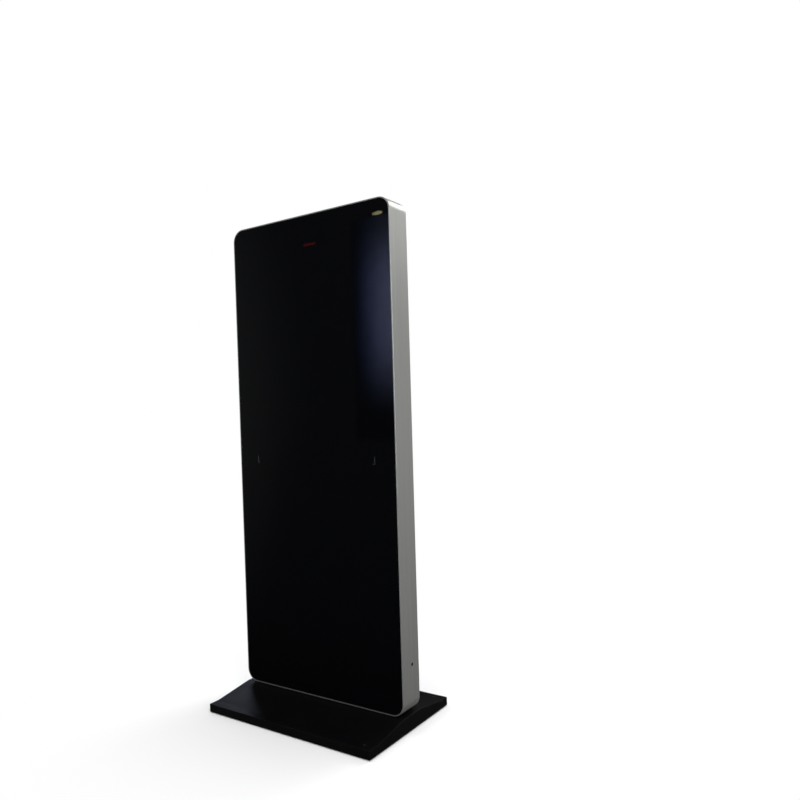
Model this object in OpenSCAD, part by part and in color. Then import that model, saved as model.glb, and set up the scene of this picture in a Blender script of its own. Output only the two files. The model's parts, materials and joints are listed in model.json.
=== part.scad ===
// Floor-standing portrait touchscreen kiosk for museums and exhibitions.
// +X is to the right seen from the front, the glass faces -Y, +Z is up.
// The origin is on the floor, under the middle of the base. Millimetres.

/* [Cabinet] */
// Width of the cabinet
cabinet_w = 760; // [750:1:775]
// Height of the cabinet, without the base
cabinet_h = 1870; // [1860:1:1900]
// Depth of the cabinet
cabinet_d = 116; // [114:1:120]
// Radius of the cabinet's four corners, seen from the front
corner_r = 49; // [44:1:55]
// Thickness of the frame's outer wall
frame_t = 2.2; // [2:0.1:2.5]
// Width of the bright lip that frames the glass
lip_w = 4.5; // [4:0.1:5]
// Height of the cabinet's underside above the floor
cabinet_z = 62; // [60:1:66]

/* [Base] */
// Depth of the base in front of the cabinet
base_front = 224; // [215:1:235]
// Depth of the base behind the cabinet
base_back = 210; // [200:1:220]
// Height of the flat rim above the floor
rim_z = 34; // [32:1:36]
// Depth of the flat rim at the front and back
rim_d = 46; // [42:1:50]
// Thickness of the base plate
plate_t = 8; // [6:1:10]
// Thickness of the rubber feet
foot_t = 3; // [2.5:0.5:4]
// Thickness of the base cover's sheet
cover_t = 2; // [1.5:0.1:2.5]
// Rubber seat between the base and the cabinet
seat_t = 2.5; // [2:0.1:3]
// Radius of the floor anchor holes
anchor_r = 6; // [5:0.5:7]
// Distance between anchor holes along X
anchor_x = 600; // [560:10:640]
// Distance between anchor holes along Y
anchor_y = 400; // [380:10:420]

/* [Glass and display] */
// Thickness of the tempered front glass
glass_t = 4; // [3:0.5:4]
// Width of the picture area (55 inch, portrait)
active_w = 680.4; // [670:0.1:682]
// Height of the picture area
active_h = 1209.6; // [1200:0.1:1212]
// Distance from the cabinet's top to the picture's top
active_drop = 150; // [145:1:160]
// Width of the display module
module_w = 704; // [702:1:706]
// Height of the display module
module_h = 1232; // [1230:1:1236]

/* [Rear door] */
// Width of the service door's opening
door_w = 562; // [540:1:562]
// Height of the service door's opening
door_h = 762; // [750:1:780]
// Height of the opening's lower edge above the floor
door_z = 619; // [600:1:640]
// Thickness of the rear sheet
sheet_t = 1.5; // [1.2:0.1:1.5]
// Radius of the hinge pins
pin_r = 2; // [1.8:0.1:2.2]
// Running clearance of pins, plugs and shafts
run_gap = 0.06; // [0.03:0.01:0.09]

/* [Fans] */
// Side length of the square fan frames
fan_w = 92; // [90:1:92]
// Thickness of the fans
fan_t = 25; // [24:1:26]
// Number of blades
fan_blades = 7; // [5:1:9]

/* [Hidden] */
$fn = 48;

base_w = cabinet_w;
base_d = base_front + cabinet_d + base_back;
front_y = -base_d / 2 + base_front;
back_y = front_y + cabinet_d;
top_z = cabinet_z + cabinet_h;
mid_z = cabinet_z + cabinet_h / 2;
deck_z = cabinet_z - seat_t;
plate_top = foot_t + plate_t;
inner_x = cabinet_w / 2 - frame_t;
rim_screw_at = [for (sx = [-1, 1], sy = [-1, 1]) [sx * (base_w / 2 - 42), sy * (base_d / 2 - 30)]];

// Rounding of the frame's front edge
edge_r = 2.5;

// Layers behind the front face
print_t = 0.3;
tape_t = 1.2;
glass_gap = 0.5;
ledge_w = 16.5;
ledge_t = 2;
ledge_d = glass_t + print_t + tape_t;
glass_back = front_y + glass_t;
print_back = glass_back + print_t;
glass_w = cabinet_w - 2 * (lip_w + glass_gap);
glass_h = cabinet_h - 2 * (lip_w + glass_gap);
glass_r = corner_r - lip_w - glass_gap;

// Display module, from its front to its back
active_z = top_z - active_drop - active_h / 2;
module_front = print_back + 0.7;
cell_front = module_front + 1;
cell_t = 2;
diffuser_t = 5;
pan_front = cell_front + cell_t + diffuser_t;
pan_d = 18;
module_back = pan_front + pan_d;
window_w = active_w + 4;
window_h = active_h + 4;

// Sensors behind the top border of the glass
ir_pos = [15, top_z - 116];
ir_size = [56, 9];
light_pos = [193, top_z - 88];
light_r = 2.5;

// Faint printed corner marks on the glass
mark_x = 285;
mark_z = top_z - 956;
mark_h = 28;
mark_w = 10;
mark_line = 1.2;

// Inner frame
bracket_t = 2;
rail_x = 310;
rail_w = 40;
rail_d = 20;
rail_t = 1.5;
rail_front = module_back + bracket_t;
rail_back = rail_front + rail_d;
rail_bottom = cabinet_z + frame_t;
rail_top = top_z - frame_t;
crossbar_h = 20;
crossbar_levels = [cabinet_z + 50, active_z - module_h / 2 - 25, top_z - 60];
tray_t = 1.5;
tray_w = 650;
tray_z = [595, 1500];
tray_back = rail_back + tray_t;
tray_screw_levels = [620, 900, 1180, 1470];

// Support posts
post_w = 60;
post_d = 40;
post_t = 3;
post_top = 525;
post_back = rail_back + post_d;
post_gap = 0.5;
post_bolt_r = 4;
post_bolt_levels = [150, 450];

// Rear cover and door
flange_w = 16;
flange_t = 2;
cover_out = back_y - 0.2;
cover_in = cover_out - sheet_t;
cover_gap = 0.4;
return_d = 14;
door_gap = 1;
door_edge_d = 10;
door_mid_z = door_z + door_h / 2;
leaf_t = 1.5;
leaf_w = 26;
leaf_h = 64;
barrel_r = 4;
hinge_x = -door_w / 2 + door_gap;
hinge_y = cover_out + barrel_r + 0.3;
hinge_levels = [door_z + 110, door_z + door_h - 110];
knuckle = leaf_h / 3;
knuckle_gap = 0.3;
leaf_screws = [-22, 22];
louvre_levels = [-230, 230];
cover_screw_r = 2;
cover_screw_inset = 9.5;
cover_screw_at = concat(
    [for (sx = [-1, 1], i = [-3 : 3]) [sx * (cabinet_w / 2 - cover_screw_inset), mid_z + i * 280]],
    [for (sz = [-1, 1], i = [-1 : 1]) [i * 260, mid_z + sz * (cabinet_h / 2 - cover_screw_inset)]]);

// Cam lock
lock_x = door_w / 2 - 30;
lock_z = door_mid_z;
lock_r = 8;
plug_r = 5;
cam_len = 38;
cam_w = 12;
cam_t = 2;
cam_back = cover_in - return_d - 0.6;
lock_back = cover_in - return_d + 0.2;

// Fans
fan_x = 110;
fan_z = top_z - 170;
fan_back = cover_in;
fan_front = fan_back - fan_t;
fan_bore_r = fan_w / 2 - 2;
hub_r = 18;
spider_t = 3;
shaft_r = 1.5;
fan_hole = 41.25;
fan_screw_at = [for (s = [-1, 1], sx = [-1, 1], sz = [-1, 1])
    [s * fan_x + sx * fan_hole, fan_z + sz * fan_hole]];

// Connectors in the lower part of the rear cover
inlet_x = -70;
switch_x = 0;
port_x = 85;
connector_z = 190;
port_size = [90, 34];
jack_size = [16, 13.5];
usb_size = [14.5, 7];
rocker_angle = 7;
rocker_y = cover_out - 2.3;
rocker_cavity = [11.2, 17.2];
inlet_cavity = [24, 16];
inlet_hole = [28.6, 20.6];
switch_hole = [15, 22];
port_hole = [76, 24];
jack_x = port_x - 24;
usb_at = [[port_x + 12, connector_z - 5.5], [port_x + 12, connector_z + 5.5]];

// Push button in the right side of the frame
button_y = front_y + 68;
button_z = cabinet_z + 179;
button_r = 6.22;
button_hole_r = 6.5;
button_travel = 2;

// Equipment on the tray: [x, z] of the lower left corner, then [width, height, depth]
psu_at = [-235, 700];
psu_size = [215, 115, 32];
player_at = [30, 700];
player_size = [180, 125, 34];
board_at = [-200, 950];
board_size = [165, 115, 1.6];
touch_at = [60, 960];
touch_size = [85, 48, 1.6];
standoff_h = 8;
speaker_x = 150;
speaker_z = 330;
speaker_size = [124, 74, 48];
loom_y = cover_in - 38;

// ---- helpers ----

// A plate in the XZ plane: children are drawn as (x, z), from y0 back to y1
module upright(y0, y1) {
    translate([0, y1, 0]) rotate([90, 0, 0]) linear_extrude(y1 - y0) children();
}

// A profile drawn as (y, z), carried along X from x0 to x1
module across(x0, x1) {
    translate([x0, 0, 0]) rotate([90, 0, 90]) linear_extrude(x1 - x0) children();
}

module rounded(w, h, r) {
    square([w - 2 * r, h], center = true);
    square([w, h - 2 * r], center = true);
    for (sx = [-1, 1], sz = [-1, 1])
        translate([sx * (w / 2 - r), sz * (h / 2 - r)]) circle(r);
}

module block(low, high) {
    translate(low) cube(high - low);
}

module rod_x(x0, x1, y, z, r) {
    translate([x0, y, z]) rotate([0, 90, 0]) cylinder(h = x1 - x0, r = r);
}

module rod_y(x, y0, y1, z, r) {
    translate([x, y0, z]) rotate([-90, 0, 0]) cylinder(h = y1 - y0, r = r);
}

module rod_z(x, y, z0, z1, r) {
    translate([x, y, z0]) cylinder(h = z1 - z0, r = r);
}

// A 2D profile (u = outwards from the edge, v = up) carried round a rounded rectangle
module ring(w, h, r) {
    for (a = [0, 180]) rotate([0, 0, a]) ring_run(w / 2, h - 2 * r) children();
    for (a = [90, 270]) rotate([0, 0, a]) ring_run(h / 2, w - 2 * r) children();
    for (c = [[1, 1, 0], [-1, 1, 90], [-1, -1, 180], [1, -1, 270]])
        translate([c[0] * (w / 2 - r), c[1] * (h / 2 - r), 0]) rotate([0, 0, c[2]])
            rotate_extrude(angle = 90, $fn = 96) translate([r, 0]) children();
}

module ring_run(offset, length) {
    translate([offset, length / 2, 0]) rotate([90, 0, 0]) linear_extrude(length) children();
}

// A round cable through axis-aligned points
module cable(points, r) {
    for (i = [0 : len(points) - 2]) {
        a = points[i];
        b = points[i + 1];
        low = [for (k = [0 : 2]) min(a[k], b[k])];
        high = [for (k = [0 : 2]) max(a[k], b[k])];
        if (a[0] != b[0]) rod_x(low[0], high[0], a[1], a[2], r);
        if (a[1] != b[1]) rod_y(a[0], low[1], high[1], a[2], r);
        if (a[2] != b[2]) rod_z(a[0], a[1], low[2], high[2], r);
    }
    for (i = [1 : len(points) - 2]) translate(points[i]) sphere(r);
}

// A row of horizontal slots with round ends, as (x, z)
module slots(count, width, pitch, height) {
    for (i = [0 : count - 1]) translate([0, (i - (count - 1) / 2) * pitch]) {
        square([width - height, height], center = true);
        for (s = [-1, 1]) translate([s * (width - height) / 2, 0]) circle(height / 2, $fn = 24);
    }
}

// ---- base ----

module post_holes(z0, z1, gap) {
    for (s = [-1, 1])
        block([s * rail_x - post_w / 2 - gap, rail_back - gap, z0],
              [s * rail_x + post_w / 2 + gap, post_back + gap, z1]);
}

module base_plate() {
    inset = 6;
    color("dimgray") difference() {
        block([-base_w / 2 + inset, -base_d / 2 + inset, foot_t],
              [base_w / 2 - inset, base_d / 2 - inset, plate_top]);
        for (sx = [-1, 1], sy = [-1, 1])
            rod_z(sx * anchor_x / 2, sy * anchor_y / 2, foot_t - 1, plate_top + 1, anchor_r);
        for (p = rim_screw_at) rod_z(p[0], p[1], foot_t - 1, plate_top + 1, 2.1);
    }
}

module base_profile(drop, inset) {
    half = base_d / 2 - inset;
    polygon([
        [-half, foot_t - (inset > 0 ? 1 : 0)],
        [-half, rim_z - drop],
        [-base_d / 2 + rim_d, rim_z - drop],
        [front_y, deck_z - drop],
        [back_y, deck_z - drop],
        [base_d / 2 - rim_d, rim_z - drop],
        [half, rim_z - drop],
        [half, foot_t - (inset > 0 ? 1 : 0)],
    ]);
}

module base_cover() {
    color([0.03, 0.03, 0.035]) difference() {
        across(-base_w / 2, base_w / 2) base_profile(0, 0);
        across(-base_w / 2 + cover_t, base_w / 2 - cover_t) base_profile(cover_t, cover_t);
        post_holes(deck_z - 5, deck_z + 1, post_gap);
        for (p = rim_screw_at) rod_z(p[0], p[1], rim_z - 5, rim_z + 1, 2.1);
    }
}

module base_cover_screws() {
    color([0.05, 0.05, 0.05]) for (p = rim_screw_at) {
        rod_z(p[0], p[1], foot_t + 1, rim_z, 2);
        difference() {
            rod_z(p[0], p[1], rim_z, rim_z + 1.6, 4.6);
            translate([p[0], p[1], rim_z + 0.8]) cylinder(h = 1, r = 1.7, $fn = 6);
        }
    }
}

module base_feet() {
    color("black") for (x = [-330, 0, 330], sy = [-1, 1])
        rod_z(x, sy * (base_d / 2 - 40), 0, foot_t, 20);
}

module seat_gasket() {
    color([0.05, 0.05, 0.05]) difference() {
        block([-cabinet_w / 2 + corner_r, front_y + 10, deck_z],
              [cabinet_w / 2 - corner_r, back_y - 10, cabinet_z]);
        post_holes(deck_z - 1, cabinet_z + 1, post_gap);
        block([-230, front_y + 24, deck_z - 1], [230, back_y - 24, cabinet_z + 1]);
    }
}

module support_post(side) {
    x = side * rail_x;
    color("slategray") difference() {
        block([x - post_w / 2, rail_back, plate_top], [x + post_w / 2, post_back, post_top]);
        block([x - post_w / 2 + post_t, rail_back + post_t, plate_top - 1],
              [x + post_w / 2 - post_t, post_back - post_t, post_top + 1]);
        for (z = post_bolt_levels) rod_y(x, rail_back - 1, post_back + 1, z, post_bolt_r + 0.25);
    }
}

module support_post_left() { support_post(-1); }

module support_post_right() { support_post(1); }

module post_bolts() {
    color("silver") for (s = [-1, 1], z = post_bolt_levels) {
        rod_y(s * rail_x, rail_front + rail_t, post_back, z, post_bolt_r);
        translate([s * rail_x, post_back, z]) rotate([-90, 0, 0]) cylinder(h = 5.3, r = 7.5, $fn = 6);
    }
}

// ---- cabinet frame and glass ----

// The frame's section: u runs outwards, v runs from the rear face to the front face
module frame_section() {
    d = cabinet_d;
    arc = [for (a = [0 : 15 : 90]) [-edge_r + edge_r * cos(a), d - edge_r + edge_r * sin(a)]];
    polygon(concat(
        [[-1.2, 0], [0, 1.2]],
        arc,
        [
            [-lip_w, d], [-lip_w, d - ledge_d], [-ledge_w, d - ledge_d],
            [-ledge_w, d - ledge_d - ledge_t], [-frame_t, d - ledge_d - ledge_t],
            [-frame_t, back_y - cover_in + flange_t], [-flange_w, back_y - cover_in + flange_t],
            [-flange_w, back_y - cover_in], [-frame_t, back_y - cover_in], [-frame_t, 0],
        ]));
}

module side_frame() {
    color([0.62, 0.62, 0.6]) difference() {
        translate([0, back_y, mid_z]) rotate([90, 0, 0]) ring(cabinet_w, cabinet_h, corner_r) frame_section();
        post_holes(cabinet_z - 1, cabinet_z + frame_t + 1, post_gap);
        rod_x(inner_x - 1, cabinet_w / 2 + 1, button_y, button_z, button_hole_r);
        for (p = cover_screw_at) rod_y(p[0], cover_in - 4, cover_in + 1, p[1], cover_screw_r + 0.1);
    }
}

module front_glass() {
    color([0.02, 0.02, 0.025]) translate([0, 0, mid_z]) upright(front_y, glass_back)
        rounded(glass_w, glass_h, glass_r, $fn = 96);
}

module glass_print() {
    color([0.01, 0.01, 0.01]) upright(glass_back, print_back) difference() {
        translate([0, mid_z]) rounded(glass_w - 1, glass_h - 1, glass_r - 0.5);
        translate([0, active_z]) square([window_w, window_h], center = true);
        translate(ir_pos) square(ir_size, center = true);
        translate(light_pos) circle(light_r);
    }
}

module glass_tape() {
    color([0.08, 0.08, 0.08]) upright(print_back, print_back + tape_t) translate([0, mid_z]) difference() {
        rounded(glass_w - 1, glass_h - 1, glass_r - 0.5);
        rounded(cabinet_w - 2 * ledge_w + 2, cabinet_h - 2 * ledge_w + 2, corner_r - ledge_w + 1);
    }
}

module touch_foil() {
    color([0.03, 0.03, 0.04]) upright(glass_back, print_back)
        translate([0, active_z]) square([window_w - 0.4, window_h - 0.4], center = true);
}

module corner_marks() {
    color([0.2, 0.2, 0.2]) upright(print_back, print_back + 0.2) for (s = [-1, 1]) {
        translate([s * mark_x, mark_z + mark_h / 2]) square([mark_line, mark_h], center = true);
        translate([s * (mark_x - mark_w / 2), mark_z]) square([mark_w, mark_line], center = true);
    }
}

module ir_window() {
    color([0.35, 0.02, 0.02]) upright(glass_back, print_back + 1)
        translate(ir_pos) square(ir_size - [0.4, 0.4], center = true);
}

module ir_receiver() {
    color("darkgreen") {
        upright(print_back + 5, print_back + 6.6) translate(ir_pos) square([62, 16], center = true);
        upright(print_back + 1, print_back + 5) translate(ir_pos) square([10, 7], center = true);
    }
}

module light_sensor() {
    color("darkgreen") {
        upright(print_back + 4, print_back + 5.6) translate(light_pos) square([24, 18], center = true);
        rod_y(light_pos[0], glass_back + 0.1, print_back + 4, light_pos[1], light_r - 0.1);
    }
}

// ---- display module ----

module module_outline(inset) {
    translate([0, active_z]) square([module_w - 2 * inset, module_h - 2 * inset], center = true);
}

module lcd_bezel() {
    color([0.15, 0.15, 0.15]) {
        upright(module_front, cell_front) difference() {
            module_outline(0);
            translate([0, active_z]) square([window_w, window_h], center = true);
        }
        upright(cell_front, pan_front + 12) difference() {
            module_outline(0);
            module_outline(1);
        }
    }
}

module lcd_panel() {
    color([0.02, 0.02, 0.03]) upright(cell_front, cell_front + cell_t) module_outline(4);
}

module diffuser_stack() {
    color("whitesmoke") upright(cell_front + cell_t, pan_front) module_outline(4);
}

module lcd_rear_pan() {
    rib = [module_w - 160, 24];
    color("silver") {
        difference() {
            upright(pan_front, module_back) module_outline(1.5);
            upright(pan_front - 1, module_back - 1) module_outline(2.5);
        }
        for (i = [-2 : 2]) upright(module_back - 4, module_back - 1)
            translate([0, active_z + i * 220]) square(rib, center = true);
    }
}

module led_bars() {
    color("ivory") for (s = [-1, 1]) {
        x = s * (module_w / 2 - 6);
        block([x - 1, pan_front, active_z - active_h / 2], [x + 1, pan_front + 10, active_z + active_h / 2]);
    }
}

module lcd_brackets() {
    color("gray") for (s = [-1, 1], z = [-480, 0, 480]) {
        edge = s * module_w / 2;
        inner = s * (rail_x - rail_w / 2);
        lip = s * (module_w / 2 + bracket_t);
        low = active_z + z - 30;
        high = active_z + z + 30;
        block([min(inner, lip), module_back, low], [max(inner, lip), rail_front, high]);
        block([min(edge, lip), pan_front, low], [max(edge, lip), module_back, high]);
    }
}

// ---- inner frame ----

module rail(side) {
    x = side * rail_x;
    color("lightsteelblue") difference() {
        block([x - rail_w / 2, rail_front, rail_bottom], [x + rail_w / 2, rail_back, rail_top]);
        block([x - rail_w / 2 + rail_t, rail_front + rail_t, rail_bottom - 1],
              [x + rail_w / 2 - rail_t, rail_back - rail_t, rail_top + 1]);
        for (z = post_bolt_levels) rod_y(x, rail_back - rail_t - 1, rail_back + 1, z, post_bolt_r + 0.25);
    }
}

module left_rail() { rail(-1); }

module right_rail() { rail(1); }

module crossbars() {
    x = rail_x - rail_w / 2;
    color("lightsteelblue") for (z = crossbar_levels) difference() {
        block([-x, rail_front, z], [x, rail_back, z + crossbar_h]);
        block([-x - 1, rail_front + rail_t, z + rail_t], [x + 1, rail_back + 1, z + crossbar_h - rail_t]);
    }
}

module equipment_tray() {
    color("lightgray") upright(rail_back, tray_back) difference() {
        translate([0, (tray_z[0] + tray_z[1]) / 2]) square([tray_w, tray_z[1] - tray_z[0]], center = true);
        for (z = [1160, 1240, 1320], x = [-180, 0, 180]) translate([x, z]) square([100, 40], center = true);
        for (s = [-1, 1], z = tray_screw_levels) translate([s * rail_x, z]) circle(2.1);
    }
}

module tray_screws() {
    color("silver") for (s = [-1, 1], z = tray_screw_levels) {
        rod_y(s * rail_x, rail_back, tray_back, z, 2);
        rod_y(s * rail_x, tray_back, tray_back + 2.4, z, 4);
    }
}

// ---- electronics ----

module case_at(at, size) {
    block([at[0], tray_back, at[1]], [at[0] + size[0], tray_back + size[2], at[1] + size[1]]);
}

module power_supply() {
    wall = 1.2;
    back = tray_back + psu_size[2];
    color("silver") difference() {
        case_at(psu_at, psu_size);
        block([psu_at[0] + wall, tray_back + wall, psu_at[1] + wall],
              [psu_at[0] + psu_size[0] - wall, back - wall, psu_at[1] + psu_size[1] - wall]);
        upright(back - 3, back + 1) translate([psu_at[0] + psu_size[0] / 2, psu_at[1] + psu_size[1] / 2])
            slots(8, 150, 11, 4);
    }
}

module media_player() {
    back = tray_back + player_size[2];
    fin_t = 2;
    fin_pitch = 8;
    fins = 20;
    color([0.12, 0.12, 0.13]) {
        block([player_at[0], tray_back, player_at[1]],
              [player_at[0] + player_size[0], back - 10, player_at[1] + player_size[1]]);
        for (i = [0 : fins - 1]) {
            x = player_at[0] + 13 + i * fin_pitch;
            block([x, back - 10, player_at[1] + 4], [x + fin_t, back, player_at[1] + player_size[1] - 4]);
        }
    }
}

module driver_board() {
    y = tray_back + standoff_h;
    top = y + board_size[2];
    color("darkgreen") {
        translate([board_at[0], y, board_at[1]]) cube([board_size[0], board_size[2], board_size[1]]);
        block([board_at[0] + 60, top, board_at[1] + 40], [board_at[0] + 90, top + 8, board_at[1] + 70]);
        for (i = [0 : 3]) block([board_at[0] + 12 + i * 36, top, board_at[1] + 2],
                                [board_at[0] + 36 + i * 36, top + 11, board_at[1] + 16]);
        for (i = [0 : 4])
            rod_y(board_at[0] + 118 + 9 * (i % 3), top, top + 14, board_at[1] + 60 + 20 * floor(i / 3), 4);
        block([board_at[0] + 20, top, board_at[1] + 98], [board_at[0] + 80, top + 6, board_at[1] + 106]);
    }
}

module touch_controller() {
    y = tray_back + standoff_h;
    top = y + touch_size[2];
    color("darkblue") {
        translate([touch_at[0], y, touch_at[1]]) cube([touch_size[0], touch_size[2], touch_size[1]]);
        block([touch_at[0] + 30, top, touch_at[1] + 16], [touch_at[0] + 46, top + 2, touch_at[1] + 32]);
        block([touch_at[0] + 8, top, touch_at[1] + 38], [touch_at[0] + 78, top + 4, touch_at[1] + 44]);
        block([touch_at[0] + 60, top, touch_at[1] + 3], [touch_at[0] + 72, top + 6, touch_at[1] + 13]);
    }
}

module board_standoffs() {
    inset = 5;
    color("gold") for (b = [[board_at, board_size], [touch_at, touch_size]], i = [0, 1], k = [0, 1])
        rod_y(b[0][0] + inset + i * (b[1][0] - 2 * inset), tray_back, tray_back + standoff_h,
              b[0][1] + inset + k * (b[1][1] - 2 * inset), 2.5);
}

module speaker(side) {
    x = side * speaker_x;
    back = cover_in;
    front = back - speaker_size[2];
    wall = 4;
    color([0.1, 0.1, 0.1]) {
        difference() {
            block([x - speaker_size[0] / 2, front, speaker_z - speaker_size[1] / 2],
                  [x + speaker_size[0] / 2, back, speaker_z + speaker_size[1] / 2]);
            block([x - speaker_size[0] / 2 + wall, front + wall, speaker_z - speaker_size[1] / 2 + wall],
                  [x + speaker_size[0] / 2 - wall, back - wall, speaker_z + speaker_size[1] / 2 - wall]);
            rod_y(x, back - wall - 1, back + 1, speaker_z, 30);
        }
        difference() {
            rod_y(x, back - 22, back - wall, speaker_z, 32);
            rod_y(x, back - 18, back - wall + 1, speaker_z, 27);
        }
        rod_y(x, back - 19, back - 8, speaker_z, 9);
    }
}

module speaker_left() { speaker(-1); }

module speaker_right() { speaker(1); }

module mains_loom() {
    run_x = -250;
    color("black") cable([
        [inlet_x, cover_in - 19, connector_z], [inlet_x, loom_y, connector_z], [run_x, loom_y, connector_z],
        [run_x, loom_y, 660], [psu_at[0] + 40, loom_y, 660], [psu_at[0] + 40, loom_y, psu_at[1]],
    ], 4);
}

module signal_loom() {
    run_x = 250;
    color([0.2, 0.2, 0.25]) cable([
        [jack_x, cover_in - 19, connector_z], [jack_x, loom_y, connector_z], [run_x, loom_y, connector_z],
        [run_x, loom_y, 660], [player_at[0] + 60, loom_y, 660], [player_at[0] + 60, loom_y, player_at[1]],
    ], 3);
}

// ---- rear cover, door and lock ----

module rear_cover() {
    color([0.1, 0.1, 0.1]) {
        difference() {
            upright(cover_in, cover_out) difference() {
                translate([0, mid_z]) rounded(2 * (inner_x - cover_gap),
                                              cabinet_h - 2 * (frame_t + cover_gap),
                                              corner_r - frame_t - cover_gap);
                translate([0, door_mid_z]) square([door_w, door_h], center = true);
                for (s = [-1, 1]) translate([s * fan_x, fan_z]) slots(8, 76, 10, 5);
                for (s = [-1, 1]) translate([s * speaker_x, speaker_z]) slots(5, 52, 10, 4);
                translate([inlet_x, connector_z]) square(inlet_hole, center = true);
                translate([switch_x, connector_z]) square(switch_hole, center = true);
                translate([port_x, connector_z]) square(port_hole, center = true);
            }
            for (p = concat(cover_screw_at, fan_screw_at))
                rod_y(p[0], cover_in - 1, cover_out + 1, p[1], cover_screw_r + 0.1);
        }
        upright(cover_in - return_d, cover_in) translate([0, door_mid_z]) difference() {
            square([door_w + 2 * sheet_t, door_h + 2 * sheet_t], center = true);
            square([door_w, door_h], center = true);
        }
    }
}

module cover_screw(p, length) {
    rod_y(p[0], cover_out - length, cover_out, p[1], cover_screw_r);
    difference() {
        rod_y(p[0], cover_out, cover_out + 1.8, p[1], 3.8);
        block([p[0] - 2.6, cover_out + 1, p[1] - 0.5], [p[0] + 2.6, cover_out + 3, p[1] + 0.5]);
    }
}

module rear_cover_screws() {
    color("silver") {
        for (p = cover_screw_at) cover_screw(p, 6.5);
        for (p = fan_screw_at) cover_screw(p, 18);
    }
}

module rear_door() {
    w = door_w - 2 * door_gap;
    h = door_h - 2 * door_gap;
    color([0.1, 0.1, 0.1]) {
        upright(cover_in, cover_out) difference() {
            translate([0, door_mid_z]) square([w, h], center = true);
            for (z = louvre_levels) translate([0, door_mid_z + z]) slots(10, 300, 12, 5);
            translate([lock_x, lock_z]) circle(lock_r);
        }
        upright(cover_in - door_edge_d, cover_in) translate([0, door_mid_z]) difference() {
            square([w, h], center = true);
            square([w - 2 * sheet_t, h - 2 * sheet_t], center = true);
        }
    }
}

module door_filters() {
    color("dimgray") for (z = louvre_levels)
        upright(cover_in - 4, cover_in) translate([0, door_mid_z + z]) square([330, 140], center = true);
}

// One leaf of a hinge. side is -1 for the cabinet and 1 for the door.
module leaf(side, z) {
    moving = side > 0;
    cut = barrel_r + 0.4;
    difference() {
        union() {
            block([side > 0 ? hinge_x : hinge_x - leaf_w, cover_out, z - leaf_h / 2],
                  [side > 0 ? hinge_x + leaf_w : hinge_x, cover_out + leaf_t, z + leaf_h / 2]);
            rod_z(hinge_x, hinge_y, z - leaf_h / 2, z + leaf_h / 2, barrel_r);
            for (dz = leaf_screws)
                rod_y(hinge_x + side * 17, cover_out, cover_out + leaf_t + 1.2, z + dz, 3.4);
        }
        if (moving) for (s = [-1, 1])
            rod_z(hinge_x, hinge_y, z + (s < 0 ? -leaf_h / 2 - 1 : knuckle / 2 - knuckle_gap),
                  z + (s < 0 ? -knuckle / 2 + knuckle_gap : leaf_h / 2 + 1), cut);
        else
            rod_z(hinge_x, hinge_y, z - knuckle / 2, z + knuckle / 2, cut);
        rod_z(hinge_x, hinge_y, z - leaf_h / 2 - 1, z + leaf_h / 2 + 1, moving ? pin_r + run_gap : pin_r);
        // clears the thin edge that would be left beside the other leaf's knuckles
        for (k = moving ? [-1, 1] : [0])
            block([hinge_x - cut, cover_out - 1, z + k * knuckle - knuckle / 2 + (moving ? -1 : 0)],
                  [hinge_x + cut, cover_out + leaf_t + 1, z + k * knuckle + knuckle / 2 + (moving ? 1 : 0)]);
        for (dz = leaf_screws) block([hinge_x + side * 17 - 2.4, cover_out + leaf_t + 0.6, z + dz - 0.5],
                                     [hinge_x + side * 17 + 2.4, cover_out + leaf_t + 2, z + dz + 0.5]);
    }
}

module hinge_frame_leaves() {
    color("silver") for (z = hinge_levels) leaf(-1, z);
}

module hinge_door_leaves() {
    color("silver") for (z = hinge_levels) leaf(1, z);
}

module hinge_pins() {
    color("gray") for (z = hinge_levels) {
        rod_z(hinge_x, hinge_y, z - leaf_h / 2, z + leaf_h / 2, pin_r);
        for (s = [0, 1]) rod_z(hinge_x, hinge_y, z + s * leaf_h - leaf_h / 2 - (1 - s) * 1.2,
                               z + s * leaf_h - leaf_h / 2 + s * 1.2, 3.2);
    }
}

module lock_housing() {
    color("silver") difference() {
        union() {
            rod_y(lock_x, lock_back, cover_out, lock_z, lock_r);
            rod_y(lock_x, cover_out, cover_out + 2.5, lock_z, 10);
        }
        rod_y(lock_x, lock_back - 1, cover_out + 4, lock_z, plug_r + run_gap);
    }
}

module lock_nut() {
    color("gray") difference() {
        translate([lock_x, cover_in - 3.5, lock_z]) rotate([-90, 0, 0]) cylinder(h = 3.5, r = 12, $fn = 6);
        rod_y(lock_x, cover_in - 5, cover_in + 1, lock_z, lock_r);
    }
}

module lock_plug() {
    color("lightgray") difference() {
        union() {
            rod_y(lock_x, lock_back, cover_out + 2.8, lock_z, plug_r);
            rod_y(lock_x, cam_back - cam_t - 3, lock_back, lock_z, 4);
        }
        block([lock_x - 0.9, cover_out - 6, lock_z - 3.4], [lock_x + 0.9, cover_out + 4, lock_z + 3.4]);
    }
}

module lock_cam() {
    color("silver") difference() {
        union() {
            upright(cam_back - cam_t, cam_back) translate([lock_x, lock_z - cam_len / 2 + 2])
                rounded(cam_w, cam_len + 4, cam_w / 2 - 0.5);
            rod_y(lock_x, cam_back - cam_t, cam_back, lock_z, cam_w / 2 + 1);
        }
        rod_y(lock_x, cam_back - cam_t - 1, cam_back + 1, lock_z, 4);
    }
}

// ---- fans ----

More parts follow.
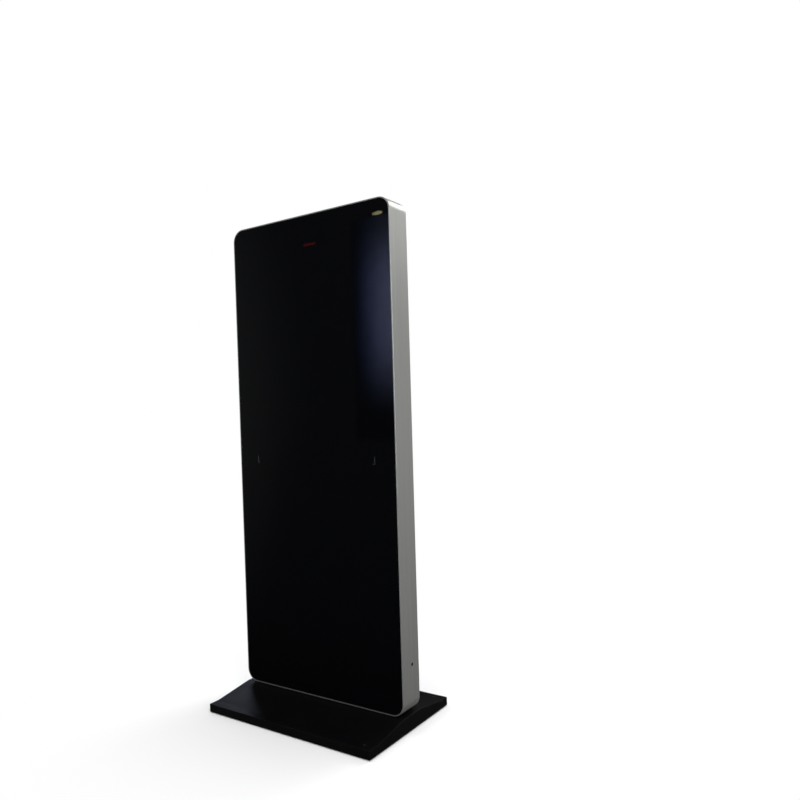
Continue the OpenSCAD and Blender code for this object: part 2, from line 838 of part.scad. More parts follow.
module fan_frame(side) {
    x = side * fan_x;
    color([0.1, 0.1, 0.1]) {
        difference() {
            upright(fan_front, fan_back) translate([x, fan_z]) rounded(fan_w, fan_w, 5);
            rod_y(x, fan_front - 1, fan_back + 1, fan_z, fan_bore_r);
            for (p = fan_screw_at) rod_y(p[0], fan_front - 1, fan_back + 1, p[1], cover_screw_r + 0.1);
        }
        difference() {
            union() {
                rod_y(x, fan_front, fan_front + spider_t, fan_z, hub_r - 2);
                for (a = [45, 135]) translate([x, fan_front + spider_t / 2, fan_z]) rotate([0, a, 0])
                    cube([2 * fan_bore_r + 2, spider_t, 5], center = true);
            }
            rod_y(x, fan_front - 1, fan_front + spider_t + 1, fan_z, shaft_r + run_gap);
        }
    }
}

module fan_rotor(side) {
    x = side * fan_x;
    y0 = fan_front + spider_t + 0.7;
    y1 = fan_back - 4;
    blade_mid = (y0 + y1) / 2;
    blade_tip = fan_bore_r - 1.5;
    color([0.15, 0.15, 0.16]) {
        rod_y(x, y0, y1, fan_z, hub_r);
        rod_y(x, fan_front + 0.5, y0, fan_z, shaft_r);
        for (i = [0 : fan_blades - 1]) translate([x, blade_mid, fan_z]) rotate([0, i * 360 / fan_blades, 0])
            translate([(hub_r + blade_tip) / 2 - 1, 0, 0]) rotate([40, 0, 0])
                cube([blade_tip - hub_r, 1.6, 20], center = true);
    }
}

module fan_frame_left() { fan_frame(-1); }

module fan_frame_right() { fan_frame(1); }

module fan_rotor_left() { fan_rotor(-1); }

module fan_rotor_right() { fan_rotor(1); }

// ---- connectors and switches ----

module power_inlet() {
    color([0.06, 0.06, 0.06]) difference() {
        union() {
            upright(cover_out, cover_out + 3) translate([inlet_x, connector_z]) rounded(50, 24, 4);
            upright(cover_in - 19, cover_out) translate([inlet_x, connector_z])
                square([28, 20], center = true);
            for (s = [-1, 1]) rod_y(inlet_x + s * 20, cover_out, cover_out + 4, connector_z, 2.6);
        }
        upright(cover_out - 13, cover_out + 4) translate([inlet_x, connector_z])
            square(inlet_cavity, center = true);
    }
}

module inlet_pins() {
    color("gold") for (p = [[-7, -2], [0, 2.5], [7, -2]])
        block([inlet_x + p[0] - 1, cover_out - 13, connector_z + p[1] - 2],
              [inlet_x + p[0] + 1, cover_out - 1, connector_z + p[1] + 2]);
}

module switch_housing() {
    color([0.06, 0.06, 0.06]) difference() {
        union() {
            upright(cover_out, cover_out + 2) translate([switch_x, connector_z]) rounded(19, 26, 2);
            upright(cover_in - 15, cover_out) translate([switch_x, connector_z])
                square([14.6, 21.6], center = true);
        }
        upright(rocker_y - 6, cover_out + 3) translate([switch_x, connector_z])
            square(rocker_cavity, center = true);
        rod_x(switch_x - 6.6, switch_x + 6.6, rocker_y, connector_z, 1 + run_gap);
    }
}

module switch_rocker() {
    end_y = 4 + 7.5 * tan(rocker_angle);
    color([0.5, 0.03, 0.03]) translate([0, rocker_y, connector_z]) {
        rotate([-rocker_angle, 0, 0]) across(switch_x - 5, switch_x + 5)
            polygon([[end_y, -7.5], [4, 0], [end_y, 7.5], [1, 7.5], [-3, 3], [-3, -3], [1, -7.5]]);
        rod_x(switch_x - 6.5, switch_x + 6.5, 0, 0, 1);
    }
}

module port_panel() {
    color("silver") {
        upright(cover_out, cover_out + 1.5) difference() {
            translate([port_x, connector_z]) rounded(port_size[0], port_size[1], 3);
            translate([jack_x, connector_z]) square(jack_size, center = true);
            for (p = usb_at) translate(p) square(usb_size, center = true);
        }
        for (s = [-1, 1]) rod_y(port_x + s * 40, cover_out + 1.5, cover_out + 2.7, connector_z, 2.6);
    }
}

module data_ports() {
    color("lightgray") {
        difference() {
            upright(cover_in - 19, cover_out + 1.5) translate([jack_x, connector_z])
                square(jack_size, center = true);
            upright(cover_out - 11, cover_out + 3) translate([jack_x, connector_z])
                square([12, 8.5], center = true);
        }
        for (p = usb_at) difference() {
            upright(cover_in - 12, cover_out + 1.5) translate(p) square(usb_size, center = true);
            upright(cover_out - 9, cover_out + 3) translate(p) square([12.6, 5.2], center = true);
        }
    }
}

module power_button_housing() {
    x1 = inner_x;
    color([0.1, 0.1, 0.1]) difference() {
        rod_x(x1 - 25, x1, button_y, button_z, button_hole_r + 3);
        rod_x(x1 - 18.5, x1 + 1, button_y, button_z, button_r + run_gap);
    }
}

module power_button() {
    x1 = cabinet_w / 2 - 0.6;
    color([0.05, 0.05, 0.05]) rod_x(inner_x - 18.5 + button_travel + 0.5, x1, button_y, button_z, button_r);
}

base_plate();
base_cover();
base_feet();
base_cover_screws();
seat_gasket();
support_post_left();
support_post_right();
post_bolts();
side_frame();
front_glass();
glass_print();
glass_tape();
touch_foil();
corner_marks();
ir_window();
ir_receiver();
light_sensor();
lcd_bezel();
lcd_panel();
diffuser_stack();
led_bars();
lcd_rear_pan();
lcd_brackets();
left_rail();
right_rail();
crossbars();
equipment_tray();
tray_screws();
power_supply();
media_player();
driver_board();
touch_controller();
board_standoffs();
speaker_left();
speaker_right();
mains_loom();
signal_loom();
rear_cover();
rear_cover_screws();
rear_door();
door_filters();
hinge_frame_leaves();
hinge_door_leaves();
hinge_pins();
lock_housing();
lock_nut();
lock_plug();
lock_cam();
fan_frame_left();
fan_frame_right();
fan_rotor_left();
fan_rotor_right();
power_inlet();
inlet_pins();
switch_housing();
switch_rocker();
port_panel();
data_ports();
power_button_housing();
power_button();
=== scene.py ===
"""Looks of the floor-standing touchscreen kiosk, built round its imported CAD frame.

Shapes are drawn in millimetres in the row frame: +X right, +Y to the rear, +Z up.
"""

import json
import random
from math import cos, pi, radians, sin, tau

import bmesh
import bpy
from mathutils import Matrix, Vector
from mathutils.geometry import tessellate_polygon

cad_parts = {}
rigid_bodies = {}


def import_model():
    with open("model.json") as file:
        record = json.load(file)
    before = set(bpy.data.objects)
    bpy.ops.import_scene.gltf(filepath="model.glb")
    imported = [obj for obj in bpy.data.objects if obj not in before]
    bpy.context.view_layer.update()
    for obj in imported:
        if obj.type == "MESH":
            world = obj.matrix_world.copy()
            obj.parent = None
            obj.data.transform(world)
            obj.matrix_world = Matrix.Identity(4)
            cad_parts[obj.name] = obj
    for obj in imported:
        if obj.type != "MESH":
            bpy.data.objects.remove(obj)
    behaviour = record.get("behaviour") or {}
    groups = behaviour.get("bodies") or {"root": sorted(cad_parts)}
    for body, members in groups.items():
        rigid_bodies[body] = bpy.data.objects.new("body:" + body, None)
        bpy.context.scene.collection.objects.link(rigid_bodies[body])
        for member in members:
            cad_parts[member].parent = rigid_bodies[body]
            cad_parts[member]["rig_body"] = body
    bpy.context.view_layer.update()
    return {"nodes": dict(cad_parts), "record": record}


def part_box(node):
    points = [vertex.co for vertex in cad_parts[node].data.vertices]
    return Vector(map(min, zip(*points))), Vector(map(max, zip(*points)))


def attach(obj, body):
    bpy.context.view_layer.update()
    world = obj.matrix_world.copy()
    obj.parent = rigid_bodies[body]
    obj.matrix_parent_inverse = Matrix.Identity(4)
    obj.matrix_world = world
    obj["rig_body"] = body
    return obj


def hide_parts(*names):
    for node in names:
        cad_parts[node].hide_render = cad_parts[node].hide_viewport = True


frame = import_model()
NODES = frame["nodes"]
SLOTS = {part["node"]: part["material_slot"] for part in frame["record"]["subparts"]}
MM = 0.001
RNG = random.Random(7)

# ---------------------------------------------------------------- camera, floor and light

CAMERA_AT = (1.7264, -2.2341, 1.1538)
CAMERA_TURN = (88.54, 1.79, 36.17)
LENS = 32.44
SHIFT = (0.0770, 0.0437)


def put(tree, kind, inputs=None, **props):
    """Adds a shader node; a socket given as an input is linked, any other value is set."""
    node = tree.nodes.new("ShaderNode" + kind)
    for key, value in props.items():
        setattr(node, key, value)
    for key, value in (inputs or {}).items():
        if isinstance(value, bpy.types.NodeSocket):
            tree.links.new(value, node.inputs[key])
        else:
            node.inputs[key].default_value = value
    return node


def maths(tree, kind, first, second):
    return put(tree, "Math", {0: first, 1: second}, operation=kind).outputs[0]


def span(tree, value, low, high, start=0.3, stop=0.7, smooth=False):
    """Carries the range from start to stop onto the range from low to high."""
    return put(tree, "MapRange", {"Value": value, "From Min": start, "From Max": stop, "To Min": low, "To Max": high},
               interpolation_type="SMOOTHSTEP" if smooth else "LINEAR").outputs[0]


def blend_colour(tree, share, first, second):
    """Mixes two colours; share is 0 for the first and 1 for the second."""
    return put(tree, "Mix", {0: share, 6: first, 7: second}, data_type="RGBA").outputs[2]


def empty_material(name):
    mat = bpy.data.materials.new(name)
    mat.use_nodes = True
    mat.node_tree.nodes.clear()
    return mat, mat.node_tree


def link_object(name, data):
    obj = bpy.data.objects.new(name, data)
    bpy.context.scene.collection.objects.link(obj)
    return obj


def make_camera():
    camera = link_object("camera", bpy.data.cameras.new("camera"))
    camera.location = CAMERA_AT
    camera.rotation_euler = [radians(turn) for turn in CAMERA_TURN]
    camera.data.lens = LENS
    camera.data.sensor_width = 36
    camera.data.shift_x, camera.data.shift_y = SHIFT
    camera.data.clip_end = 200
    bpy.context.scene.camera = camera


def make_world():
    """White for the eye, soft grey for diffuse light, and a dim room in reflections."""
    world = bpy.data.worlds.new("studio")
    world.use_nodes = True
    tree = world.node_tree
    tree.nodes.clear()
    direction = put(tree, "TexCoord").outputs["Generated"]

    def toward(aim):
        return put(tree, "VectorMath", {0: direction, 1: aim}, operation="DOT_PRODUCT").outputs["Value"]

    # the silver's right side mirrors the first part of the room, and its left side the second
    right = span(tree, toward((0.80, 0.60, 0.05)), 0.032, 0.30, 0.20, 0.95, smooth=True)
    left = span(tree, toward((-0.96, -0.27, 0.05)), 0.0, 0.45, 0.80, 0.98, smooth=True)
    height = put(tree, "SeparateXYZ", {0: direction}).outputs["Z"]
    fall = span(tree, height, 0.06, 1.0, -0.42, 0.0)
    glow = maths(tree, "ADD", maths(tree, "MULTIPLY", right, fall), left)
    rays = put(tree, "LightPath").outputs
    room = put(tree, "Background", {"Color": (0.985, 1.0, 0.975, 1), "Strength": glow})
    soft = put(tree, "Background", {"Color": (1, 1, 1, 1), "Strength": 0.55})
    white = put(tree, "Background", {"Color": (1, 1, 1, 1), "Strength": 1.0})
    first = put(tree, "MixShader", {0: rays["Is Glossy Ray"], 1: soft.outputs[0], 2: room.outputs[0]})
    both = put(tree, "MixShader", {0: rays["Is Camera Ray"], 1: first.outputs[0], 2: white.outputs[0]})
    put(tree, "OutputWorld", {"Surface": both.outputs[0]})
    bpy.context.scene.world = world


def make_floor():
    """A pale floor that fades into the white background about a metre out."""
    mesh = bpy.data.meshes.new("floor")
    half = 60
    corners = [(-half, -half, 0), (half, -half, 0), (half, half, 0), (-half, half, 0)]
    mesh.from_pydata(corners, [], [(0, 1, 2, 3)])
    floor = link_object("floor", mesh)
    floor.location.z = -0.0005
    floor.visible_glossy = False
    mat, tree = empty_material("floor_white")
    place = put(tree, "TexCoord").outputs["Object"]
    distance = put(tree, "VectorMath", {0: place}, operation="LENGTH").outputs["Value"]
    fade = span(tree, distance, 0.0, 1.0, 0.3, 1.3, smooth=True)
    paint = put(tree, "BsdfDiffuse", {"Color": (0.93, 0.93, 0.93, 1)})
    glow = put(tree, "Emission", {"Color": (1, 1, 1, 1), "Strength": 1.0})
    both = put(tree, "MixShader", {0: fade, 1: paint.outputs[0], 2: glow.outputs[0]})
    put(tree, "OutputMaterial", {"Surface": both.outputs[0]})
    mesh.materials.append(mat)


def make_lamp(name, at, toward, size, power, colour=(1, 1, 1), glossy=True):
    data = bpy.data.lights.new(name, "AREA")
    data.shape = "RECTANGLE"
    data.size, data.size_y = size
    data.energy = power
    data.color = colour
    lamp = link_object(name, data)
    lamp.location = at
    lamp.rotation_euler = (Vector(toward) - Vector(at)).to_track_quat("-Z", "Y").to_euler()
    lamp.visible_glossy = glossy
    return lamp


def make_card(name, points, at, strength, colour=(1, 1, 1)):
    """A glowing panel in the XZ plane that only reflections see. strength gives its value and tint."""
    mesh = bpy.data.meshes.new(name)
    mesh.from_pydata([(x, 0, z) for x, z in points], [], [range(len(points))])
    card = link_object(name, mesh)
    card.location = at
    card.visible_camera = False
    card.visible_diffuse = False
    card.visible_shadow = False
    mat, tree = empty_material(name)
    value, tint = strength(tree, put(tree, "TexCoord").outputs["Object"])
    glow = put(tree, "Emission", {"Color": tint or (*colour, 1), "Strength": value})
    put(tree, "OutputMaterial", {"Surface": glow.outputs[0]})
    mesh.materials.append(mat)


def ellipse(half_width, half_height, steps):
    return [(half_width * cos(tau * k / steps), half_height * sin(tau * k / steps)) for k in range(steps)]


def make_window_glow():
    """The bluish light of a far window, stronger to its right and fading up and down."""
    width, height = 0.47, 2.25

    def strength(tree, place):
        axes = put(tree, "SeparateXYZ", {0: place}).outputs
        across = span(tree, axes["X"], 0.03, 1.0, 0.0, width, smooth=True)
        rise = span(tree, axes["Z"], 0.0, 1.0, 0.22, 1.25, smooth=True)
        drop = span(tree, axes["Z"], 2.3, 0.35, 1.50, height, smooth=True)
        cloud = put(tree, "TexNoise", {"Vector": place, "Scale": 9.0, "Detail": 8.0}).outputs["Fac"]
        value = across
        for factor in (rise, drop, span(tree, cloud, 0.82, 1.15)):
            value = maths(tree, "MULTIPLY", value, factor)
        return value, blend_colour(tree, across, (0.22, 0.38, 1.0, 1), (0.52, 0.58, 1.0, 1))

    make_card("window_glow", [(0, 0), (width, 0), (width, height), (0, height)], (-2.53, -4.0, 0.9), strength)


def make_far_wall():
    """A soft pale glow far in front, so that the pane shows a sheen when it is seen straight on."""
    half_width, half_height = 1.45, 1.9

    def strength(tree, place):
        share = put(tree, "Mapping", {"Vector": place, "Scale": (1 / half_width, 1, 1 / half_height)}).outputs[0]
        out = put(tree, "VectorMath", {0: share}, operation="LENGTH").outputs["Value"]
        return span(tree, out, 0.60, 0.0, 0.0, 0.98, smooth=True), None

    make_card("far_wall", ellipse(half_width, half_height, 48), (-0.62, -5.0, 2.2), strength, (0.80, 0.88, 1.0))


def make_ceiling_spot():
    """A small warm ceiling light."""

    def strength(tree, place):
        cloud = put(tree, "TexNoise", {"Vector": place, "Scale": 30.0}).outputs["Fac"]
        return span(tree, cloud, 4.0, 8.0, 0.0, 1.0), None

    make_card("ceiling_spot", ellipse(0.050, 0.017, 32), (-1.66, -3.16, 2.90), strength, (1.0, 0.92, 0.50))


def make_studio():
    bpy.context.scene.view_settings.view_transform = "Standard"
    make_world()
    make_floor()
    make_lamp("overhead", (0.4, -0.6, 4.2), (0, 0, 0), (3.2, 3.2), 95, glossy=False)
    make_lamp("right_front", (3.4, -2.3, 2.0), (0.3, 0, 1.3), (0.6, 2.2), 44)
    make_lamp("left_rear", (-3.0, 2.6, 2.4), (0, 0, 1.0), (1.2, 2.0), 12, (0.72, 0.78, 1.0))
    make_lamp("rear", (0.5, 3.4, 3.3), (0, 0, 1.0), (1.6, 1.6), 48)
    make_lamp("right_rear", (1.2, 3.6, 2.9), (0, 0, 1.0), (1.4, 1.4), 24, glossy=False)
    make_window_glow()
    make_far_wall()
    make_ceiling_spot()


# ---------------------------------------------------------------- materials


def shader(name):
    mat = bpy.data.materials.new(name)
    mat.use_nodes = True
    return mat, mat.node_tree, mat.node_tree.nodes["Principled BSDF"]


def noise(tree, place, scale, detail=4.0, stretch=(1, 1, 1)):
    spread = put(tree, "Mapping", {"Vector": place, "Scale": stretch}).outputs[0]
    return put(tree, "TexNoise", {"Vector": spread, "Scale": scale, "Detail": detail}).outputs["Fac"]


def finish(name, dark, light, rough, grain, metal=0.0, patch=9.0, stretch=(1, 1, 1), bump=0.15,
           depth=0.0002, worn=None, cells=0.0, dust=0.0, **sockets):
    """A surface with an uneven tone and gloss, a fine grain, and edges that are slightly worn.

    dark and light are the two ends of its tone, rough the two ends of its roughness, grain the
    grain's scale in 1/m, and stretch draws the texture out along an axis.
    """
    mat, tree, bsdf = shader(name)
    place = put(tree, "TexCoord").outputs["Object"]
    cloud = noise(tree, place, patch, 6.0, stretch)
    fine = noise(tree, place, grain, 3.0, stretch)
    half = maths(tree, "MULTIPLY", maths(tree, "ADD", cloud, fine), 0.5)
    tone = blend_colour(tree, span(tree, half, 0.0, 1.0), (*dark, 1), (*light, 1))
    if cells:
        spangle = put(tree, "TexVoronoi", {"Vector": place, "Scale": cells}).outputs["Color"]
        grey = put(tree, "SeparateColor", {0: spangle}).outputs[0]
        tone = blend_colour(tree, span(tree, grey, 0.0, 0.5, 0.0, 1.0), tone, (*dark, 1))
    if worn:
        edge = put(tree, "Attribute", attribute_name="wear").outputs["Fac"]
        rub = span(tree, noise(tree, place, 160.0, 5.0), 0.0, 1.0, 0.45, 0.62)
        tone = blend_colour(tree, maths(tree, "MULTIPLY", edge, rub), tone, (*worn, 1))
    if dust:
        specks = put(tree, "TexVoronoi", {"Vector": place, "Scale": 240.0}).outputs["Distance"]
        share = span(tree, specks, dust, 0.0, 0.0, 0.11)
        tone = blend_colour(tree, share, tone, (0.25, 0.25, 0.24, 1))
    tree.links.new(tone, bsdf.inputs["Base Color"])
    tree.links.new(span(tree, half, rough[0], rough[1]), bsdf.inputs["Roughness"])
    relief = put(tree, "Bump", {"Strength": bump, "Distance": depth, "Height": fine})
    tree.links.new(relief.outputs[0], bsdf.inputs["Normal"])
    bsdf.inputs["Metallic"].default_value = metal
    for socket, value in sockets.items():
        bsdf.inputs[socket.replace("_", " ")].default_value = value
    return mat


def glass_material():
    """Clear low-iron glass: mostly see-through, with the sharp reflection of its front face."""
    mat, tree, bsdf = shader("tempered_glass")
    place = put(tree, "TexCoord").outputs["Object"]
    smear = noise(tree, place, 3.2, 8.0, (1, 1, 0.45))
    bsdf.inputs["Base Color"].default_value = (0.002, 0.0022, 0.003, 1)
    tree.links.new(span(tree, smear, 0.004, 0.022, 0.35, 0.75), bsdf.inputs["Roughness"])
    clear = put(tree, "BsdfTransparent", {"Color": (0.96, 0.98, 0.98, 1)})
    out = tree.nodes["Material Output"]
    mixed = put(tree, "MixShader", {0: 0.50, 1: clear.outputs[0], 2: bsdf.outputs[0]})
    tree.links.new(mixed.outputs[0], out.inputs["Surface"])
    return mat


def board_material(name, dark, light):
    """Solder mask over copper: straight tracks, ground fill and small round pads."""
    mat, tree, bsdf = shader(name)
    place = put(tree, "TexCoord").outputs["Object"]
    upright = put(tree, "Mapping", {"Vector": place, "Rotation": (pi / 2, 0, 0)}).outputs[0]
    tracks = put(tree, "TexBrick", {"Vector": upright, "Scale": 160.0, "Mortar Size": 0.10, "Brick Width": 1.7,
                                    "Row Height": 0.28}).outputs["Fac"]
    mask = blend_colour(tree, tracks, (*dark, 1), (*light, 1))
    dots = put(tree, "TexVoronoi", {"Vector": place, "Scale": 210.0, "Randomness": 0.7}).outputs["Distance"]
    pads = maths(tree, "LESS_THAN", dots, 0.16)
    tone = blend_colour(tree, pads, mask, (0.55, 0.42, 0.16, 1))
    tree.links.new(tone, bsdf.inputs["Base Color"])
    tree.links.new(span(tree, pads, 0.38, 0.24, 0, 1), bsdf.inputs["Roughness"])
    tree.links.new(pads, bsdf.inputs["Metallic"])
    relief = put(tree, "Bump", {"Strength": 0.4, "Distance": 0.00008, "Height": tracks})
    tree.links.new(relief.outputs[0], bsdf.inputs["Normal"])
    return mat


def woven_material(name, dark, light, pitch, rough=0.7):
    """A braided sleeve or a foam mesh: two crossed sets of strands."""
    mat, tree, bsdf = shader(name)
    place = put(tree, "TexCoord").outputs["Object"]
    sets = []
    for tilt in (0.6, -0.6):
        turned = put(tree, "Mapping", {"Vector": place, "Rotation": (tilt, tilt, 0)}).outputs[0]
        strands = put(tree, "TexWave", {"Vector": turned, "Scale": pitch, "Distortion": 0.3}, bands_direction="Z")
        sets.append(strands.outputs["Fac"])
    weave = maths(tree, "MAXIMUM", *sets)
    tree.links.new(blend_colour(tree, weave, (*dark, 1), (*light, 1)), bsdf.inputs["Base Color"])
    relief = put(tree, "Bump", {"Strength": 0.6, "Distance": 0.0004, "Height": weave})
    tree.links.new(relief.outputs[0], bsdf.inputs["Normal"])
    bsdf.inputs["Roughness"].default_value = rough
    return mat


BLACK_TEXTURE = dict(rough=(0.38, 0.52), grain=1300.0, bump=0.55, depth=0.0003, worn=(0.035, 0.035, 0.036))
BASE_TEXTURE = dict(BLACK_TEXTURE, worn=(0.010, 0.010, 0.011), Specular_IOR_Level=0.15)
PLASTIC = dict(rough=(0.42, 0.55), grain=1100.0, bump=0.12, worn=(0.05, 0.05, 0.05))
DARK_PLASTIC = dict(PLASTIC, worn=(0.01, 0.01, 0.01), Specular_IOR_Level=0.06)
METAL = dict(metal=0.80, grain=420.0, bump=0.05)

FINISH = {
    "frame_silver": finish("silver_satin", (0.50, 0.51, 0.49), (0.60, 0.60, 0.58), (0.33, 0.41), 60.0, metal=0.84,
                           patch=2.0, stretch=(0.5, 34, 0.5), bump=0.035, depth=0.0003, worn=(0.74, 0.74, 0.73)),
    "base_black": finish("black_powder_base", (0.0012, 0.0012, 0.0015), (0.0026, 0.0026, 0.0031), dust=0.02,
                         **BASE_TEXTURE),
    "cover_black": finish("black_powder_cover", (0.0090, 0.0090, 0.0100), (0.0150, 0.0150, 0.0160), dust=0.03,
                          **BLACK_TEXTURE),
    "steel_black": finish("black_steel", (0.004, 0.004, 0.005), (0.009, 0.009, 0.010), (0.40, 0.55), 700.0,
                          bump=0.2, worn=(0.03, 0.03, 0.03), Specular_IOR_Level=0.3),
    "steel_zinc": finish("zinc_sheet", (0.42, 0.43, 0.44), (0.60, 0.61, 0.62), (0.30, 0.46), cells=180.0,
                         worn=(0.75, 0.75, 0.76), **METAL),
    "fastener_zinc": finish("zinc_fastener", (0.50, 0.50, 0.50), (0.66, 0.66, 0.66), (0.24, 0.40),
                            worn=(0.8, 0.8, 0.8), **METAL),
    "screw_black": finish("black_oxide", (0.006, 0.006, 0.007), (0.014, 0.014, 0.015), (0.32, 0.45), 900.0,
                          bump=0.1, worn=(0.06, 0.06, 0.06)),
    "hinge_steel": finish("hinge_steel", (0.42, 0.42, 0.42), (0.56, 0.56, 0.56), (0.28, 0.42),
                          stretch=(1, 1, 0.08), worn=(0.72, 0.72, 0.72), **METAL),
    "lock_nickel": finish("lock_nickel", (0.62, 0.60, 0.57), (0.72, 0.70, 0.66), (0.12, 0.22),
                          worn=(0.8, 0.79, 0.76), **METAL),
    "glass_front": glass_material(),
    "print_black": finish("ceramic_print", (0.0010, 0.0010, 0.0012), (0.0018, 0.0018, 0.0020), (0.50, 0.60), 900.0,
                          bump=0.02, Specular_IOR_Level=0.1),
    "mark_grey": finish("mark_ink", (0.70, 0.68, 0.70), (0.84, 0.82, 0.83), (0.50, 0.60), 900.0, bump=0.02),
    "tape_black": finish("foam_tape", (0.02, 0.02, 0.02), (0.04, 0.04, 0.04), (0.80, 0.95), 1800.0, bump=0.5),
    "foil_dark": finish("touch_foil", (0.0012, 0.0010, 0.0012), (0.0022, 0.0018, 0.0020), (0.35, 0.45), 700.0,
                        bump=0.02, Specular_IOR_Level=0.1),
    "ir_red": finish("infrared_filter", (0.42, 0.006, 0.010), (0.56, 0.010, 0.016), (0.18, 0.26), 500.0,
                     bump=0.02),
    "pcb_green": board_material("board_green", (0.006, 0.045, 0.018), (0.012, 0.085, 0.034)),
    "lcd_dark": finish("panel_cell", (0.006, 0.006, 0.008), (0.010, 0.010, 0.013), (0.18, 0.25), 900.0, bump=0.01),
    "diffuser_white": finish("diffuser", (0.78, 0.78, 0.76), (0.86, 0.86, 0.85), (0.45, 0.60), 1500.0, bump=0.05),
    "led_white": finish("led_strip", (0.70, 0.70, 0.62), (0.85, 0.85, 0.78), (0.30, 0.45), 300.0, bump=0.1),
    "bezel_black": finish("bezel_steel", (0.012, 0.012, 0.013), (0.024, 0.024, 0.025), (0.40, 0.52), 800.0),
    "player_black": finish("black_anodised", (0.014, 0.014, 0.016), (0.026, 0.026, 0.028), (0.30, 0.42), 90.0,
                           metal=0.7, stretch=(20, 1, 1), bump=0.1, worn=(0.35, 0.35, 0.36)),
    "plastic_black": finish("moulded_black", (0.012, 0.012, 0.013), (0.020, 0.020, 0.021), **PLASTIC),
    "button_black": finish("button_black", (0.002, 0.002, 0.002), (0.004, 0.004, 0.004), **DARK_PLASTIC),
    "rocker_red": finish("rocker_red", (0.24, 0.006, 0.006), (0.34, 0.012, 0.010), (0.22, 0.32), 700.0,
                         bump=0.06, worn=(0.42, 0.05, 0.04)),
    "rubber_black": finish("rubber", (0.016, 0.016, 0.016), (0.030, 0.030, 0.030), (0.75, 0.90), 900.0, bump=0.3),
    "filter_grey": woven_material("filter_mesh", (0.006, 0.006, 0.006), (0.07, 0.07, 0.072), 420.0, 0.85),
    "cable_black": woven_material("braided_sleeve", (0.006, 0.006, 0.006), (0.05, 0.05, 0.052), 700.0, 0.5),
    "brass_plain": finish("brass", (0.62, 0.45, 0.20), (0.74, 0.56, 0.28), (0.20, 0.34), worn=(0.85, 0.7, 0.42),
                          **METAL),
}
WHITE_NYLON = finish("white_nylon", (0.62, 0.61, 0.56), (0.74, 0.73, 0.69), (0.38, 0.50), 900.0)
CHIP = finish("chip_epoxy", (0.010, 0.010, 0.011), (0.020, 0.020, 0.021), (0.45, 0.60), 1600.0)
TIN = finish("tinned_lead", (0.60, 0.60, 0.60), (0.74, 0.74, 0.74), (0.20, 0.34), **METAL)
GOLD = finish("gold_contact", (0.72, 0.50, 0.18), (0.85, 0.62, 0.26), (0.16, 0.28), **METAL)
WIRE_RED = finish("wire_red", (0.30, 0.008, 0.008), (0.42, 0.015, 0.012), (0.35, 0.45), 700.0)
# black for capacitor sleeves, also used as painted shade on the socket and connector openings
SLEEVE_AND_SHADE_BLACK = finish("sleeve_and_shade_black", (0.012, 0.012, 0.012), (0.022, 0.022, 0.022), (0.38, 0.48), 700.0)
RIBBON = finish("ribbon_white", (0.58, 0.58, 0.56), (0.78, 0.78, 0.76), (0.36, 0.46), 30.0, stretch=(60, 1, 1))
TONGUE = finish("tongue_blue", (0.01, 0.05, 0.26), (0.015, 0.08, 0.36), (0.30, 0.40), 700.0)
PAPER = finish("speaker_paper", (0.020, 0.020, 0.021), (0.045, 0.044, 0.043), (0.70, 0.85), 1300.0, bump=0.6)

# ---------------------------------------------------------------- mesh tools


def recolour_cad():
    """Gives every CAD node the finish of its slot; the nodes that a piece replaces are hidden later."""
    for name, node in NODES.items():
        node.data.materials.clear()
        node.data.materials.append(FINISH[SLOTS[name]])


def make(name, bm, *replaced, slot=None, body=None, extra=()):
    """Turns a mesh in millimetres into a piece that rides with the CAD node it replaces."""
    slot = slot or SLOTS[replaced[0]]
    bmesh.ops.recalc_face_normals(bm, faces=bm.faces)
    bmesh.ops.scale(bm, vec=(MM, MM, MM), verts=bm.verts)
    mesh = bpy.data.meshes.new(name)
    bm.to_mesh(mesh)
    bm.free()
    for polygon in mesh.polygons:
        polygon.use_smooth = True
    mesh.set_sharp_from_angle(angle=radians(32))
    for mat in (FINISH[slot], *extra):
        mesh.materials.append(mat)
    piece = link_object(name, mesh)
    weighted = piece.modifiers.new("weighted", "WEIGHTED_NORMAL")
    weighted.keep_sharp = True
    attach(piece, body or NODES[replaced[0]]["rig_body"])
    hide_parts(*replaced)
    return piece


def cad_mesh(name):
    """A copy of a CAD node's mesh in millimetres, with its flat faces joined up."""
    bm = bmesh.new()
    bm.from_mesh(NODES[name].data)
    bmesh.ops.scale(bm, vec=(1 / MM,) * 3, verts=bm.verts)
    bmesh.ops.remove_doubles(bm, verts=bm.verts, dist=0.002)
    bmesh.ops.dissolve_limit(bm, angle_limit=radians(0.6), verts=bm.verts, edges=bm.edges)
    return bm


def soften(bm, width, segments=2, angle=32):
    """Rounds every sharp edge and marks the rounded faces as worn."""
    wear = bm.loops.layers.float.get("wear") or bm.loops.layers.float.new("wear")
    edges = [e for e in bm.edges if len(e.link_faces) == 2 and e.calc_face_angle(0) > radians(angle)]
    done = bmesh.ops.bevel(bm, geom=edges, offset=width, offset_type="OFFSET", segments=segments,
                           profile=0.5, affect="EDGES", clamp_overlap=False)
    for face in done["faces"]:
        for loop in face.loops:
            loop[wear] = 1.0
    return bm


def softened(name, width, **options):
    """The CAD node itself, remade with rounded edges."""
    return make(name + "_soft", soften(cad_mesh(name), width, **options), name)


def islands(name):
    """The (lowest, highest) corners, in millimetres, of each separate solid of a CAD node."""
    bm = cad_mesh(name)
    left = set(bm.verts)
    found = []
    while left:
        seed = left.pop()
        group, queue = [seed], [seed]
        while queue:
            for edge in queue.pop().link_edges:
                for vert in edge.verts:
                    if vert in left:
                        left.remove(vert)
                        group.append(vert)
                        queue.append(vert)
        low = Vector([min(v.co[k] for v in group) for k in range(3)])
        high = Vector([max(v.co[k] for v in group) for k in range(3)])
        found.append((low, high))
    bm.free()
    return sorted(found, key=lambda box: tuple(round(c, 1) for c in box[0]))


